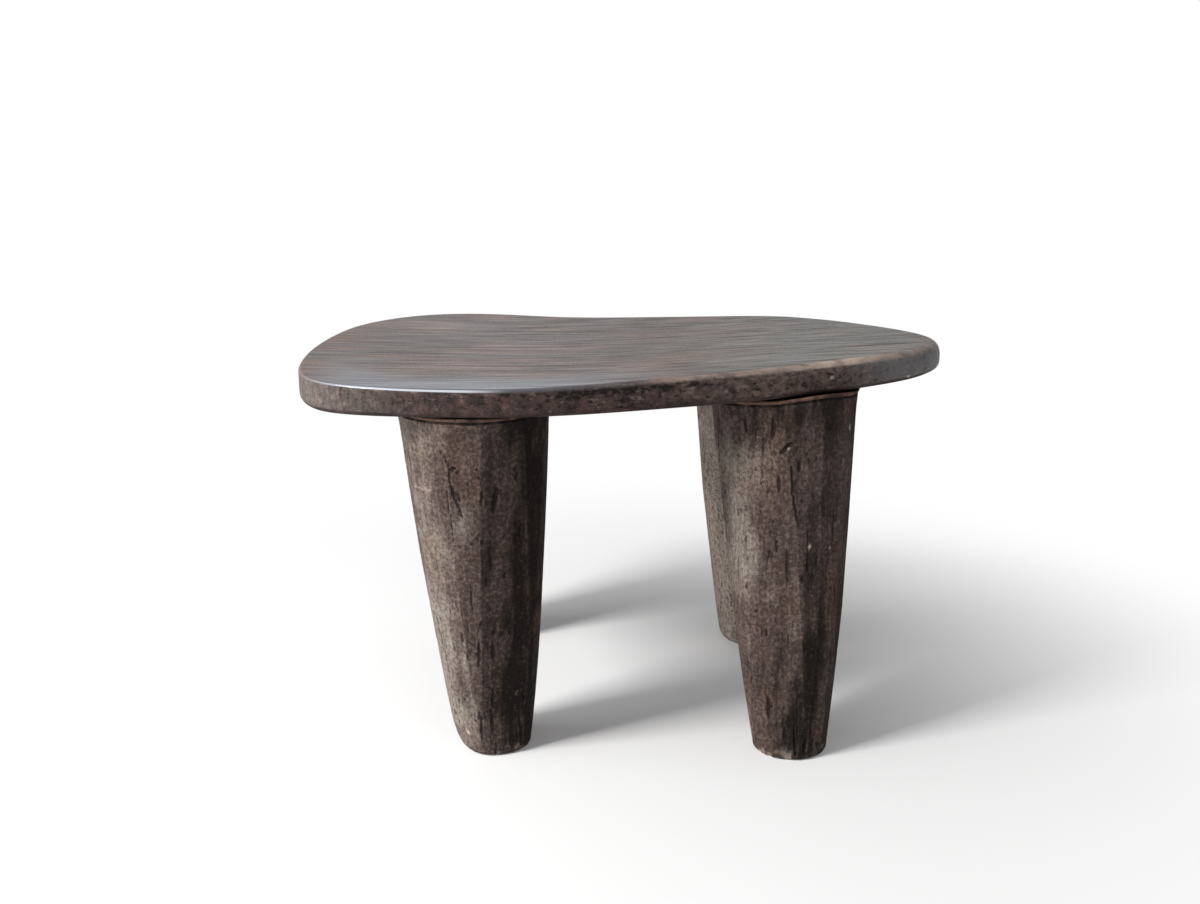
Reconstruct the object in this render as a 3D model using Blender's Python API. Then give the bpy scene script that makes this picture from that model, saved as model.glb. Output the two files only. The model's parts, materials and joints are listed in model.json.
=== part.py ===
"""Low carved stool: a bean-shaped plank seat on four tapered, adzed legs let into its underside.

Metres, +Z up. The stool stands on z = 0 with its seat centred over the origin. +X points to the seat's
narrow end and -Y to its front.
"""

import math
from collections import namedtuple

import bmesh
import bpy
from mathutils import Vector
from mathutils.geometry import interpolate_bezier

# Seat: overall length and depth, thickness of the plank, and how far its top is dished
SEAT_LENGTH = 0.577
SEAT_DEPTH = 0.393
SEAT_THICKNESS = 0.024
SEAT_DISH = 0.003

# Seat: the top climbs toward the narrow end, from this far along
NARROW_RISE = 0.0125
RISE_START = 0.187

# Seat: the underside swells down at the broad end and lifts like a prow at the narrow one, ever faster
BROAD_SWELL = 0.003
SWELL_LENGTH = 0.140
PROW_LIFT = 0.010
PROW_LENGTH = 0.330
PROW_CURVE = 1.5

# Seat: the top edge is crisp at the broad end and worn round at the narrow one, the lower edge is rounded,
# and under the narrow tip its round reaches further in
BROAD_ARRIS = 0.003
NARROW_ARRIS = 0.010
LOWER_ROUND = 0.007
PROW_REACH = 0.020

# Legs: height to the shoulder, width along the seat, depth of the foot, and the gaps between front and rear legs
LEG_HEIGHT = 0.316
LEG_TOP_WIDTH = 0.128
LEG_FOOT_WIDTH = 0.064
LEG_FOOT_DEPTH = 0.058
BROAD_LEG_GAP = 0.148
NARROW_LEG_GAP = 0.045
RIM_CHAMFER = 0.003
FOOT_ROUND = 0.004

# Legs: the share of the taper that comes late, and how many adzed facets there are and how flat
LEG_BELLY = 0.26
FACET_COUNT = 12
FACET_FLATNESS = 0.6

# Legs: how far each leg's middle is from its end of the seat, and how far the tops stand in from the edge
FRONT_BROAD_SETBACK = 0.1605
REAR_BROAD_SETBACK = 0.137
FRONT_NARROW_SETBACK = 0.148
REAR_NARROW_SETBACK = 0.1535
BROAD_LEG_INSET = 0.005
FRONT_NARROW_INSET = -0.001
REAR_NARROW_INSET = 0.007

# Legs: how far each foot is shifted from under its top, along the seat and across it
FRONT_BROAD_ALONG = 0.011
FRONT_BROAD_ACROSS = 0.005
REAR_BROAD_ALONG = 0.012
REAR_BROAD_ACROSS = -0.006
FRONT_NARROW_ALONG = 0.009
FRONT_NARROW_ACROSS = -0.052
REAR_NARROW_ALONG = 0.008
REAR_NARROW_ACROSS = 0.040

# Joints: round tenons in blind mortises, with wood left over each mortise
TENON_DIAMETER = 0.052
TENON_CHAMFER = 0.002
MORTISE_COVER = 0.009
FIT_GAP = 0.0003

# Fineness of the meshes
OUTLINE_STEPS = 5
ROUND_STEPS = 4
FACE_RINGS = 4
LEG_POINTS = 36
LEG_RINGS = 10
SMOOTH_ANGLE = math.radians(32)

# Seat outline seen from above, in shares of half the length and half the depth, counter-clockwise from the
# rear of the broad end. The curve runs smoothly through these points.
SEAT_OUTLINE = (
    (-0.94, 0.57),
    (-1.00, -0.06),
    (-0.95, -0.65),
    (-0.77, -0.91),
    (-0.37, -1.00),
    (0.12, -0.86),
    (0.54, -0.70),
    (0.90, -0.44),
    (1.00, -0.09),
    (0.84, 0.29),
    (0.59, 0.62),
    (0.27, 0.75),
    (-0.14, 0.86),
    (-0.51, 1.00),
    (-0.76, 0.92),
)

# One leg: its end of the seat and its side, the distance from that end to its middle, how far its top stands
# in from the seat's edge, how far its foot is shifted along and across the seat, and the turn of its facets
BROAD, NARROW = -1, 1
FRONT, REAR = -1, 1
Leg = namedtuple("Leg", "name end side setback inset foot_along foot_across turn")
LEGS = (
    Leg("leg_front_broad", BROAD, FRONT, FRONT_BROAD_SETBACK, BROAD_LEG_INSET,
        FRONT_BROAD_ALONG, FRONT_BROAD_ACROSS, 0.0),
    Leg("leg_rear_broad", BROAD, REAR, REAR_BROAD_SETBACK, BROAD_LEG_INSET,
        REAR_BROAD_ALONG, REAR_BROAD_ACROSS, 0.4),
    Leg("leg_front_narrow", NARROW, FRONT, FRONT_NARROW_SETBACK, FRONT_NARROW_INSET,
        FRONT_NARROW_ALONG, FRONT_NARROW_ACROSS, 0.2),
    Leg("leg_rear_narrow", NARROW, REAR, REAR_NARROW_SETBACK, REAR_NARROW_INSET,
        REAR_NARROW_ALONG, REAR_NARROW_ACROSS, 0.7),
)
LEG_GAPS = {BROAD: BROAD_LEG_GAP, NARROW: NARROW_LEG_GAP}

# Colours and roughness of the two finishes
SEAT_FINISH = (0.065, 0.050, 0.045), 0.42
LEG_FINISH = (0.085, 0.068, 0.058), 0.75

# Worked out from the sizes above
HALF_LENGTH = SEAT_LENGTH / 2.0
RIM_HEIGHT = LEG_HEIGHT + FIT_GAP + SEAT_THICKNESS
MORTISE_DEPTH = SEAT_THICKNESS - SEAT_DISH - MORTISE_COVER


def clear_scene():
    """Removes every object of the open scene."""
    for old in list(bpy.data.objects):
        bpy.data.objects.remove(old, do_unlink=True)


def blend(low, high, share):
    """The value that lies the given share of the way from low to high."""
    return low + (high - low) * share


def ease(share):
    """A smooth step from 0 to 1, level at both ends."""
    held = min(max(share, 0.0), 1.0)
    return held * held * (3.0 - 2.0 * held)


def wood(name, finish):
    """A plain wood material of the given colour and roughness."""
    colour, roughness = finish
    material = bpy.data.materials.new(name)
    material.use_nodes = True
    shader = material.node_tree.nodes["Principled BSDF"]
    shader.inputs["Base Color"].default_value = (*colour, 1.0)
    shader.inputs["Roughness"].default_value = roughness
    shader.inputs["Metallic"].default_value = 0.0
    return material


def skin(name, rings, place, parent):
    """An object at a place, whose faces join each ring of points to the next and close both ends."""
    body = bmesh.new()
    loops = [[body.verts.new(point - place) for point in ring] for ring in rings]
    count = len(rings[0])
    for lower, upper in zip(loops, loops[1:]):
        for i in range(count):
            j = (i + 1) % count
            body.faces.new((lower[i], lower[j], upper[j], upper[i]))
    body.faces.new(list(reversed(loops[0])))
    body.faces.new(loops[-1])
    bmesh.ops.recalc_face_normals(body, faces=body.faces)
    mesh = bpy.data.meshes.new(name)
    body.to_mesh(mesh)
    body.free()
    mesh.shade_smooth()
    mesh.set_sharp_from_angle(angle=SMOOTH_ANGLE)
    part = bpy.data.objects.new(name, mesh)
    part.location = place
    part.parent = parent
    bpy.context.collection.objects.link(part)
    return part


def seat_outline():
    """Points of the seat's outline, fitted to the seat's length and depth and centred on the origin."""
    corners = [Vector(corner) for corner in SEAT_OUTLINE]
    count = len(corners)
    points = []
    for i in range(count):
        before, start, end, after = (corners[(i + k) % count] for k in (-1, 0, 1, 2))
        leave = start + (end - before) / 6.0
        arrive = end - (after - start) / 6.0
        points += interpolate_bezier(start, leave, arrive, end, OUTLINE_STEPS + 1)[:-1]
    xs = [point.x for point in points]
    ys = [point.y for point in points]
    middle = Vector((max(xs) + min(xs), max(ys) + min(ys))) / 2.0
    along = SEAT_LENGTH / (max(xs) - min(xs))
    across = SEAT_DEPTH / (max(ys) - min(ys))
    return [Vector(((point.x - middle.x) * along, (point.y - middle.y) * across)) for point in points]


def outward(outline):
    """The outline's unit normals, pointing out of the seat."""
    count = len(outline)
    steps = [outline[(i + 1) % count] - outline[i - 1] for i in range(count)]
    return [Vector((step.y, -step.x)).normalized() for step in steps]


def edge_at(outline, x, side):
    """The y of the outline's front or rear edge at x."""
    reach = 0.0
    for start, end in zip(outline, outline[1:] + outline[:1]):
        if start.x != end.x and min(start.x, end.x) <= x <= max(start.x, end.x):
            y = blend(start.y, end.y, (x - start.x) / (end.x - start.x))
            reach = max(reach, y * side)
    return reach * side


def top_height(x):
    """Height of the seat's rim at x: level at the broad end, climbing toward the narrow one."""
    start = RISE_START - HALF_LENGTH
    return RIM_HEIGHT + NARROW_RISE * ease((x - start) / (HALF_LENGTH - start))


def prow_share(x):
    """How far the underside has lifted at x, from 0 to 1, along its stretch to the narrow tip."""
    share = (x - HALF_LENGTH + PROW_LENGTH) / PROW_LENGTH
    return min(max(share, 0.0), 1.0) ** PROW_CURVE


def shoulder_height(x):
    """Height of a leg's shoulder at x, which follows the seat's underside."""
    swell = ease((-x - HALF_LENGTH + SWELL_LENGTH) / SWELL_LENGTH)
    return LEG_HEIGHT + PROW_LIFT * prow_share(x) - BROAD_SWELL * swell


def underside(x):
    """Height of the seat's underside at x, a fit gap above the legs' shoulders."""
    return shoulder_height(x) + FIT_GAP


def lower_edge(x, turn):
    """Inset and height of the seat's rounded lower edge, a turn of the way from the underside to the side."""
    reach = blend(LOWER_ROUND, PROW_REACH, prow_share(x))
    return reach * (1.0 - math.sin(turn)), underside(x) + LOWER_ROUND * (1.0 - math.cos(turn))


def upper_edge(x, turn):
    """Inset and height of the seat's top edge, a turn of the way from the side to the top."""
    arris = blend(BROAD_ARRIS, NARROW_ARRIS, ease((x + HALF_LENGTH) / SEAT_LENGTH))
    return arris * (1.0 - math.cos(turn)), top_height(x) - arris * (1.0 - math.sin(turn))


def dished_top(x, share):
    """Height of the seat's top at x, a share of the way out from the middle to the rim."""
    return top_height(x) - SEAT_DISH * (1.0 - share * share)


def face_rings(rim, height):
    """Rings that run from a face's rim to near its middle, each point at the height for its x and share."""
    rings = []
    for step in range(1, FACE_RINGS + 1):
        share = 1.0 - step / (FACE_RINGS + 0.5)
        rings.append([Vector((p.x * share, p.y * share, height(p.x * share, share))) for p in rim])
    return rings


def seat_rings(outline):
    """Rings of the seat's skin, from the middle of its underside round the edge to the middle of its top."""
    normals = outward(outline)
    turns = [math.pi / 2.0 * step / ROUND_STEPS for step in range(ROUND_STEPS + 1)]
    edge = []
    for profile in (lower_edge, upper_edge):
        for turn in turns:
            ring = []
            for point, normal in zip(outline, normals):
                inset, height = profile(point.x, turn)
                flat = point - normal * inset
                ring.append(Vector((flat.x, flat.y, height)))
            edge.append(ring)
    below = face_rings(edge[0], lambda x, share: underside(x))
    above = face_rings(edge[-1], dished_top)
    return below[::-1] + edge + above


def leg_place(leg, outline):
    """The middle of a leg's top, the middle of its foot, and the depth of its top, seen from above."""
    x = leg.end * (HALF_LENGTH - leg.setback)
    middle = (edge_at(outline, x, FRONT) + edge_at(outline, x, REAR)) / 2.0
    outer = edge_at(outline, x, leg.side) - leg.side * leg.inset
    inner = middle + leg.side * LEG_GAPS[leg.end] / 2.0
    top = Vector((x, (outer + inner) / 2.0))
    return top, top + Vector((leg.foot_along, leg.foot_across)), abs(outer - inner)


def facet(angle):
    """The share of the radius that a facet leaves, at an angle round the leg."""
    width = 2.0 * math.pi / FACET_COUNT
    from_middle = angle % width - width / 2.0
    flat = math.cos(width / 2.0) / math.cos(from_middle)
    return blend(1.0, flat, FACET_FLATNESS)


def oval(middle, height, width, depth, cut=lambda angle: 1.0):
    """A level ring of points round a middle, cut to a share of its radius at each angle."""
    ring = []
    for i in range(LEG_POINTS):
        angle = 2.0 * math.pi * i / LEG_POINTS
        x = middle.x + cut(angle) * width / 2.0 * math.cos(angle)
        y = middle.y + cut(angle) * depth / 2.0 * math.sin(angle)
        ring.append(Vector((x, y, height)))
    return ring


def scribed(ring, drop=0.0):
    """A ring moved up or down to follow the shoulder, a drop below it."""
    return [Vector((point.x, point.y, shoulder_height(point.x) - drop)) for point in ring]


def mortise_end(top):
    """Height of the blind end of the mortise over a leg's top."""
    return underside(top.x) + MORTISE_DEPTH


def leg_rings(leg, outline):
    """Rings of a leg's skin, from its foot up the taper to the end of its tenon."""
    top, foot, top_depth = leg_place(leg, outline)
    turn = leg.turn * 2.0 * math.pi / FACET_COUNT

    def shaft_ring(height, trim=0.0):
        fall = 1.0 - height / LEG_HEIGHT
        taper = blend(fall, fall ** 3, LEG_BELLY)
        width = blend(LEG_TOP_WIDTH, LEG_FOOT_WIDTH, taper) - 2.0 * trim
        depth = blend(top_depth, LEG_FOOT_DEPTH, taper) - 2.0 * trim
        return oval(top.lerp(foot, fall), height, width, depth, lambda angle: facet(angle - turn))

    def tenon_ring(height, trim=0.0):
        diameter = TENON_DIAMETER - 2.0 * trim
        return oval(top, height, diameter, diameter)

    rings = []
    for step in range(ROUND_STEPS):
        swing = math.pi / 2.0 * step / ROUND_STEPS
        rings.append(shaft_ring(FOOT_ROUND * (1.0 - math.cos(swing)), FOOT_ROUND * (1.0 - math.sin(swing))))
    rim = LEG_HEIGHT - RIM_CHAMFER
    rings += [shaft_ring(blend(FOOT_ROUND, rim, step / LEG_RINGS)) for step in range(LEG_RINGS)]
    rings.append(scribed(shaft_ring(rim), RIM_CHAMFER))
    rings.append(scribed(shaft_ring(LEG_HEIGHT, RIM_CHAMFER)))
    tenon_end = mortise_end(top) - FIT_GAP
    rings.append(scribed(tenon_ring(LEG_HEIGHT)))
    rings.append(tenon_ring(tenon_end - TENON_CHAMFER))
    rings.append(tenon_ring(tenon_end, TENON_CHAMFER))
    return rings


def make_leg(leg, outline, stool):
    """One leg, with its origin in the middle of its shoulder."""
    top, _, _ = leg_place(leg, outline)
    place = Vector((top.x, top.y, shoulder_height(top.x)))
    part = skin(leg.name, leg_rings(leg, outline), place, stool)
    part.data.materials.append(wood(leg.name + "_wood", LEG_FINISH))


def cut_mortise(seat, leg, outline):
    """Bores the blind mortise for one leg's tenon in the seat's underside."""
    top, _, _ = leg_place(leg, outline)
    bore = TENON_DIAMETER + 2.0 * FIT_GAP
    end = mortise_end(top)
    rings = [oval(top, height, bore, bore) for height in (end - 2.0 * MORTISE_DEPTH, end)]
    cutter = skin("mortise_of_" + leg.name, rings, Vector((top.x, top.y, end)), seat.parent)
    cutter.hide_render = True
    cutter.display_type = "WIRE"
    cut = seat.modifiers.new("mortise", "BOOLEAN")
    cut.operation = "DIFFERENCE"
    cut.solver = "EXACT"
    cut.object = cutter


def make_seat(outline, stool):
    """The plank seat, with its origin under its middle at the height of its rim."""
    seat = skin("seat", seat_rings(outline), Vector((0.0, 0.0, RIM_HEIGHT)), stool)
    seat.data.materials.append(wood("seat_wood", SEAT_FINISH))
    for leg in LEGS:
        cut_mortise(seat, leg, outline)


def main():
    clear_scene()
    stool = bpy.data.objects.new("stool", None)
    bpy.context.collection.objects.link(stool)
    outline = seat_outline()
    make_seat(outline, stool)
    for leg in LEGS:
        make_leg(leg, outline, stool)


main()
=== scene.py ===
"""Dresses the carved stool: a polished plank seat on four adzed and weathered legs."""

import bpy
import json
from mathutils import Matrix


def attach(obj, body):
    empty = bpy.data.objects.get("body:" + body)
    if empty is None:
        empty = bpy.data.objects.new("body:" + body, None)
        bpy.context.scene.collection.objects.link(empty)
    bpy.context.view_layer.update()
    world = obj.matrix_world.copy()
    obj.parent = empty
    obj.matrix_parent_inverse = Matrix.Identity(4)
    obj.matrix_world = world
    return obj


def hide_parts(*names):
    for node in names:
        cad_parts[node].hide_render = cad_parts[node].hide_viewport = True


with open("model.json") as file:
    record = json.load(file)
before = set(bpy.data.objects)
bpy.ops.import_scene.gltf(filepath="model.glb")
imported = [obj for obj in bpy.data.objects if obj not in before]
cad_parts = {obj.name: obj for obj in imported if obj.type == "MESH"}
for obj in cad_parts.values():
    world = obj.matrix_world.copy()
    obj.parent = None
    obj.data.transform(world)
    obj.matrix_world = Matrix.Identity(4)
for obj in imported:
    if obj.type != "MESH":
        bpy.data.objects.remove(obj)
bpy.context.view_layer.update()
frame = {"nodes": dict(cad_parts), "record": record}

import functools
import json
import math

import bmesh
import bpy
import numpy as np
from bpy.props import FloatProperty, FloatVectorProperty, IntProperty, PointerProperty
from mathutils import Vector
from mathutils.bvhtree import BVHTree
from mathutils.geometry import delaunay_2d_cdt

bl_info = {
    "name": "Carved stool",
    "version": (1, 0, 0),
    "blender": (4, 5, 0),
    "location": "View3D > Sidebar > Stool",
    "description": "Carves and finishes a low plank stool over its solids, and sets the studio",
    "category": "Object",
}

LEG_NAMES = sorted(name for name in frame["nodes"] if name.startswith("leg_"))
FEET = {"leg" + row["name"][4:]: row["pos_m"] for row in frame["record"]["mounts"]}

# Fineness of the skins
LEG_COLUMNS = 320
LEG_SHAFT_RINGS = 272
SOLE_SHARES = (0.25, 0.5, 0.75, 0.92)
FOOT_STEPS = 6
SEAT_COLUMNS = 1150
SEAT_PROFILE_POINTS = 40
OUTLINE_RAYS = 2400
PROFILE_RAYS = 141
MORTISE_POINTS = 64
TOP_GRID = (0.0022, 0.0015)
UNDERSIDE_GRID = (0.006, 0.006)
TINY = 1e-5

# Ends of a leg and the joint, as the solids have them
FOOT_ROUND = 0.004
TENON_HEIGHT = 0.012
TENON_CHAMFER = 0.002
JOINT_GAP = 0.0003

# The search for a shoulder's rim: how far down it starts, how far below the tenon's end it stops, how wide
# the shoulder is at least, and how often the stretch is halved
RIM_SEARCH = 0.020
TENON_CLEAR = 0.001
SHOULDER_WIDTH = 0.005
RIM_HALVINGS = 16

# Heights at which a shaft is measured, clear of its foot and rim, the slow waves kept round shaft and rim,
# and how far the skin swells past the solid's facets
SHAFT_LEVELS = 22
SHAFT_CLEAR = (0.010, 0.008)
SHAFT_WAVES = 8
RIM_WAVES = 6
LEG_SWELL = 0.0013

# Rim under the seat: how deep it is, how far below it carving fades out, its steps down from the ledge and
# out from the shaft, a groove and then a rounded bead, and how far the ledge and the shoulder are trimmed in
RIM_DEPTH = 0.0056
RIM_KEPT = 0.020
GROOVE = ((0.0050, 0.0001), (0.0043, -0.0006), (0.0036, -0.0007), (0.0031, -0.0002))
BEAD = ((0.0026, 0.0006), (0.0020, 0.0011), (0.0012, 0.0014), (0.0005, 0.0011), (0.0, 0.0004))
LEDGE_TRIM = 0.0015
RIM_TRIM = 0.0025

# How worn and pale the bead is on a leg, and how stained the groove and the bead are
BEAD_WEAR = {"leg_front_narrow": 1.0, "leg_front_broad": 0.6}
BEAD_PLAIN_WEAR = 0.7
GROOVE_STAIN = 0.5
BEAD_STAIN = 0.25

# How far the rim may climb where the seat's lower edge curls up, the room it leaves, and columns kept clear
LEDGE_LIFT = 0.0035
LEDGE_ROOM = 0.0009
LEDGE_CLEAR = 12

# Seat: how far in from the edge its rounded skin reaches and where that starts to follow the smooth top,
# a height at which a level line cuts its side, and one below its underside
EDGE_REACH = 0.016
TOP_REACH = 0.006
SIDE_HEIGHT = 0.334
UNDER_HEIGHT = 0.25

# Slow waves kept round the outline, and how strongly a bend draws the edge's points together
OUTLINE_WAVES = 26
BEND_WEIGHT = 0.018

# The top's smooth fit: spans of X and Y, the step between the outline's points, and shares of the way out
TOP_SPAN = (0.3, 0.2)
TOP_FIT_STEP = 6
TOP_FIT_SHARES = (0.05, 1.0, 14)

# How far the underside's grid stays clear of a mortise, how far beside one its height is read, and the
# distance within which points count as one
MORTISE_CLEAR = 0.003
MORTISE_EDGE = 0.002
MERGE_DISTANCE = 1e-7

# Smoothing turns all round the seat's edge, and those of the roll along the front of its narrow end, with the
# start and the length of the roll's rise along X, along -Y, and in tilt from below and from above
ARRIS_TURNS = 3
ROLL_TURNS = 120
ROLL_ALONG = (0.02, 0.14)
ROLL_ACROSS = (-0.05, 0.10)
ROLL_LOWER = (-0.1, 0.4)
ROLL_UPPER = (-1.5, 0.3)

# How far a normal points up: start and length of the rise from uncut to cut and from raw to polished, and
# the most of it on the side
CARVED_UP = (-0.96, 0.4)
POLISHED_UP = (0.30, 0.55)
SIDE_UP = 0.5

# Tool strokes: rings at a shaft's ends where none starts, and how far they tilt; then how far a mark wanders
# and may lie off the skin
STROKE_MARGIN = 14
STROKE_SWAY = 0.014
MARK_WANDER = 0.0022
MARK_SINK = 0.006

# Kinds of mark: half width and depth in millimetres, and tint, below zero for dark and above zero for pale
MARK_KINDS = {
    "crack": (1.6, 1.0, -1.0),
    "split": (2.0, 1.9, -1.0),
    "nick": (2.6, 1.7, -1.0),
    "groove": (2.0, 0.9, -0.85),
    "chip": (3.0, 0.9, -0.9),
    "scratch": (1.2, 0.3, 0.5),
    "fleck": (2.4, 0.2, 1.4),
    "crease": (3.2, 1.1, -1.0),
    "knot": (2.6, 0.5, -1.0),
}

# Marks on the legs, each through points as degrees round the leg and millimetres up it
LEG_MARKS = {
    "leg_front_broad": (
        ("crack", (249, 283), (252, 272), (251, 263), (254, 248), (260, 229)),
        ("nick", (252, 272), (257, 273)),
        ("crack", (279, 253), (278, 240)),
        ("chip", (293, 255), (289, 233)),
        ("scratch", (206, 245), (217, 247), (230, 249)),
        ("crack", (310, 116), (310, 104)),
        ("split", (319, 38), (323, 21), (325, 4)),
        ("crack", (331, 51), (330, 36)),
        ("groove", (265, 112), (262, 90)),
        ("crack", (260, 39), (255, 13)),
        ("groove", (284, 112), (283, 94)),
        ("groove", (281, 65), (280, 48)),
        ("groove", (277, 46), (275, 25)),
        ("fleck", (312, 59), (313, 58)),
        ("fleck", (231, 14), (234, 12)),
    ),
    "leg_front_narrow": (
        ("groove", (228, 309), (227, 295)),
        ("groove", (253, 308), (253, 292)),
        ("nick", (259, 278), (264, 281), (270, 284)),
        ("fleck", (266, 281), (267, 281)),
        ("fleck", (332, 293), (333, 288)),
        ("crack", (269, 265), (269, 244), (270, 234), (273, 221), (276, 212)),
        ("groove", (242, 257), (242, 248)),
        ("groove", (256, 258), (256, 244)),
        ("groove", (276, 268), (276, 259)),
        ("crack", (192, 288), (187, 260)),
        ("fleck", (287, 194), (287, 192)),
        ("fleck", (311, 190), (312, 190)),
        ("nick", (272, 44), (273, 37)),
        ("split", (271, 36), (271, 22), (274, 6)),
        ("split", (289, 20), (287, 7)),
        ("groove", (234, 58), (233, 38)),
        ("groove", (257, 31), (256, 16)),
    ),
}
LEG_MARK_STEP = 0.7
LEG_MARK_ENDS = 0.55

# Fine drying checks at random on each leg: limits in millimetres, lean in degrees, thinness and thinner ends
CHECKS_PER_LEG = 26
CHECK_BOTTOM = (4.0, 260.0)
CHECK_LENGTH = (10.0, 55.0)
CHECK_LEAN = (-3.0, 3.0)
CHECK_THIN = (0.4, 0.8)
CHECK_TOP = 300.0
CHECK_ENDS = 0.3

# Broad facets down a leg: degrees round it at its top and at its foot, and half the facet's width in degrees
LEG_FACETS = {
    "leg_front_broad": (
        (200, 196, 12), (223, 217, 12), (246, 240, 12), (269, 262, 14), (299, 292, 17), (331, 325, 14)),
    "leg_front_narrow": (
        (205, 205, 8), (229, 231, 12), (256, 256, 13), (284, 282, 13), (310, 308, 13), (337, 335, 12)),
}
FACET_SEED = 4
FACET_SPAN = (0.012, 0.300)
FACET_STROKES = 10
FACET_SWAY = 4.0
FACET_DEPTH = (0.35, 0.95)
FACET_REACH = 0.055
FACET_REACH_SHARE = (0.7, 1.3)

# Worn foot edges: degrees round the leg, spread in degrees, and how far in and up the wear goes
FOOT_WEAR = {
    "leg_front_broad": (188, 45, 0.0045, 0.026),
    "leg_rear_narrow": (200, 40, 0.0020, 0.010),
}

# How far the ledge round a leg's top lies under its seam: degrees round the leg, spread in degrees, depth
LEDGE_DROP = {
    "leg_front_broad": (245, 60, 0.0004),
    "leg_front_narrow": (205, 36, 0.0036),
}

# Stains on a leg: degrees round it, millimetres up it, spread in both, and strength, below zero for bleached.
# Some entries are painted light and one is painted shade, as marked
LEG_STAINS_AND_PAINTED_LIGHT = {
    "leg_front_broad": (
        (320, 160, 27, 220, 0.38),
        (300, 120, 14, 70, 0.06),
        (290, 30, 18, 40, 0.14),
        (236, 290, 14, 22, 0.12),
        # Painted light: lifts the seat's cast shadow off the top of the leg
        (200, 295, 40, 45, -0.10),
        (205, 65, 30, 80, -0.28),
    ),
    "leg_front_narrow": (
        # Stain and painted shade: the dark band across the top of the leg under the seat's edge
        (250, 308, 60, 24, 0.36),
        (289, 200, 9, 75, 0.24),
        (296, 95, 12, 40, 0.28),
        (268, 140, 14, 150, 0.12),
        (278, 25, 20, 26, 0.34),
        (320, 130, 14, 120, -0.14),
        (332, 265, 14, 80, -0.20),
        (303, 262, 7, 38, 0.16),
        (212, 215, 16, 60, -0.22),
        (238, 60, 18, 45, 0.16),
        (256, 50, 50, 60, 0.40),
    ),
    "leg_rear_narrow": (
        # Painted light: both bleach the strip of this leg seen past the front leg, in place of light that the
        # seat blocks
        (212, 90, 45, 130, -0.95),
        (205, 260, 40, 60, -0.36),
    ),
}

# Marks on the seat's top and on its side, each through points in millimetres
TOP_MARKS = (
    ("crease", (176, -59), (203, -55), (230, -51), (253, -50), (279, -46)),
    ("knot", (-79, 116), (-75, 116)),
)
TOP_MARK_STEP = 0.8
TOP_MARK_ENDS = 0.35
SIDE_MARKS = (
    ("fleck", (174, -131, 336), (175, -131, 336)),
    ("fleck", (246, -95, 331), (247, -95, 331)),
)
SIDE_MARK_STEP = 0.5
SIDE_MARK_THIN = 0.65

# Colours that both finishes share: near black for dirt in the hollows and for painted shade in the joint
# under the seat, and pale fresh wood for flecks and chips, which also paints light on the palest parts of the
# legs
DIRT_AND_PAINTED_SHADE = (0.007, 0.005, 0.005)
FRESH_WOOD_AND_PAINTED_LIGHT = (0.56, 0.455, 0.385)

# Studio: lights as name, power's property, place, target, size and colour, then the camera and the floor
LIGHTS = (
    ("main_light", "key", (-1.80, -0.98, 1.78), (0.0, 0.0, 0.18), 0.6, (1.0, 0.99, 0.98)),
    ("side_light", "side", (-2.4, -0.5, 0.85), (0.0, 0.0, 0.18), 1.5, (0.97, 0.985, 1.0)),
    ("rear_light", "rear", (-0.3, 2.1, 0.85), (-0.1, 0.0, 0.34), 0.7, (0.80, 0.90, 1.0)),
)
CAMERA_PLACE = (-0.021, -1.2025, 0.5595)
SENSOR_WIDTH = 36.0
FLOOR_REACH = 12.0
WHITE = (1.0, 1.0, 1.0, 1.0)


def size_property(name, description, default):
    """A length that a user may change."""
    return FloatProperty(name=name, description=description, default=default, unit="LENGTH")


def colour_property(name, description, default):
    """A colour that a user may change."""
    return FloatVectorProperty(name=name, description=description, default=default, subtype="COLOR")


def power_property(name, description, default):
    """A light's power that a user may change."""
    return FloatProperty(name=name, description=description, default=default, subtype="POWER")


class StoolSeatLook(bpy.types.PropertyGroup):
    """Sizes and colours of the plank seat's finish."""

    strokes: IntProperty(name="Edge strokes", description="Tool strokes round the edge", default=150, min=0)
    stroke_depth: size_property("Stroke depth", "Depth of the deepest tool stroke", 0.0004)
    ripple_depth: size_property("Ripple depth", "Height of the hand-worked ripples", 0.0004)
    ripple_size: size_property("Ripple size", "Width of the hand-worked ripples", 0.055)
    pit_depth: size_property("Pit depth", "Depth of the pits in the edge", 0.0005)
    pit_size: size_property("Pit size", "Width of the pits in the edge", 0.0036)
    dark: colour_property("Dark grain", "Colour of the dark grain", (0.022, 0.018, 0.017))
    warm: colour_property("Warm grain", "Colour of the warm patches", (0.168, 0.094, 0.071))
    grey: colour_property("Grey grain", "Colour of the grey grain", (0.120, 0.088, 0.076))
    grey_tip: colour_property("Grey end", "Colour of the narrow end's grain", (0.206, 0.199, 0.186))
    # Painted reflection: the bluish grey of the smooth front band stands for the sheen of a cool light
    slide: colour_property("Smooth front", "Colour of the smooth front", (0.088, 0.097, 0.118))
    edge: colour_property("Raw edge", "Colour of the raw edge", (0.104, 0.061, 0.052))
    pale: colour_property("Pale edge", "Colour of the broad end's edge", (0.19, 0.165, 0.15))
    tip: colour_property("Grey tip", "Colour of the narrow tip's edge", (0.206, 0.208, 0.214))
    lower: colour_property("Lower rim", "Colour of the edge's lower rim", (0.062, 0.036, 0.028))
    # Painted highlight: the lamps' glint along the broad end's polished front arris, painted pale bluish
    arris: colour_property("Pale arris", "Colour of the polished arris", (0.54, 0.57, 0.63))
    rubbed: colour_property("Rubbed roll", "Colour of the rubbed roll", (0.33, 0.25, 0.212))


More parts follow.
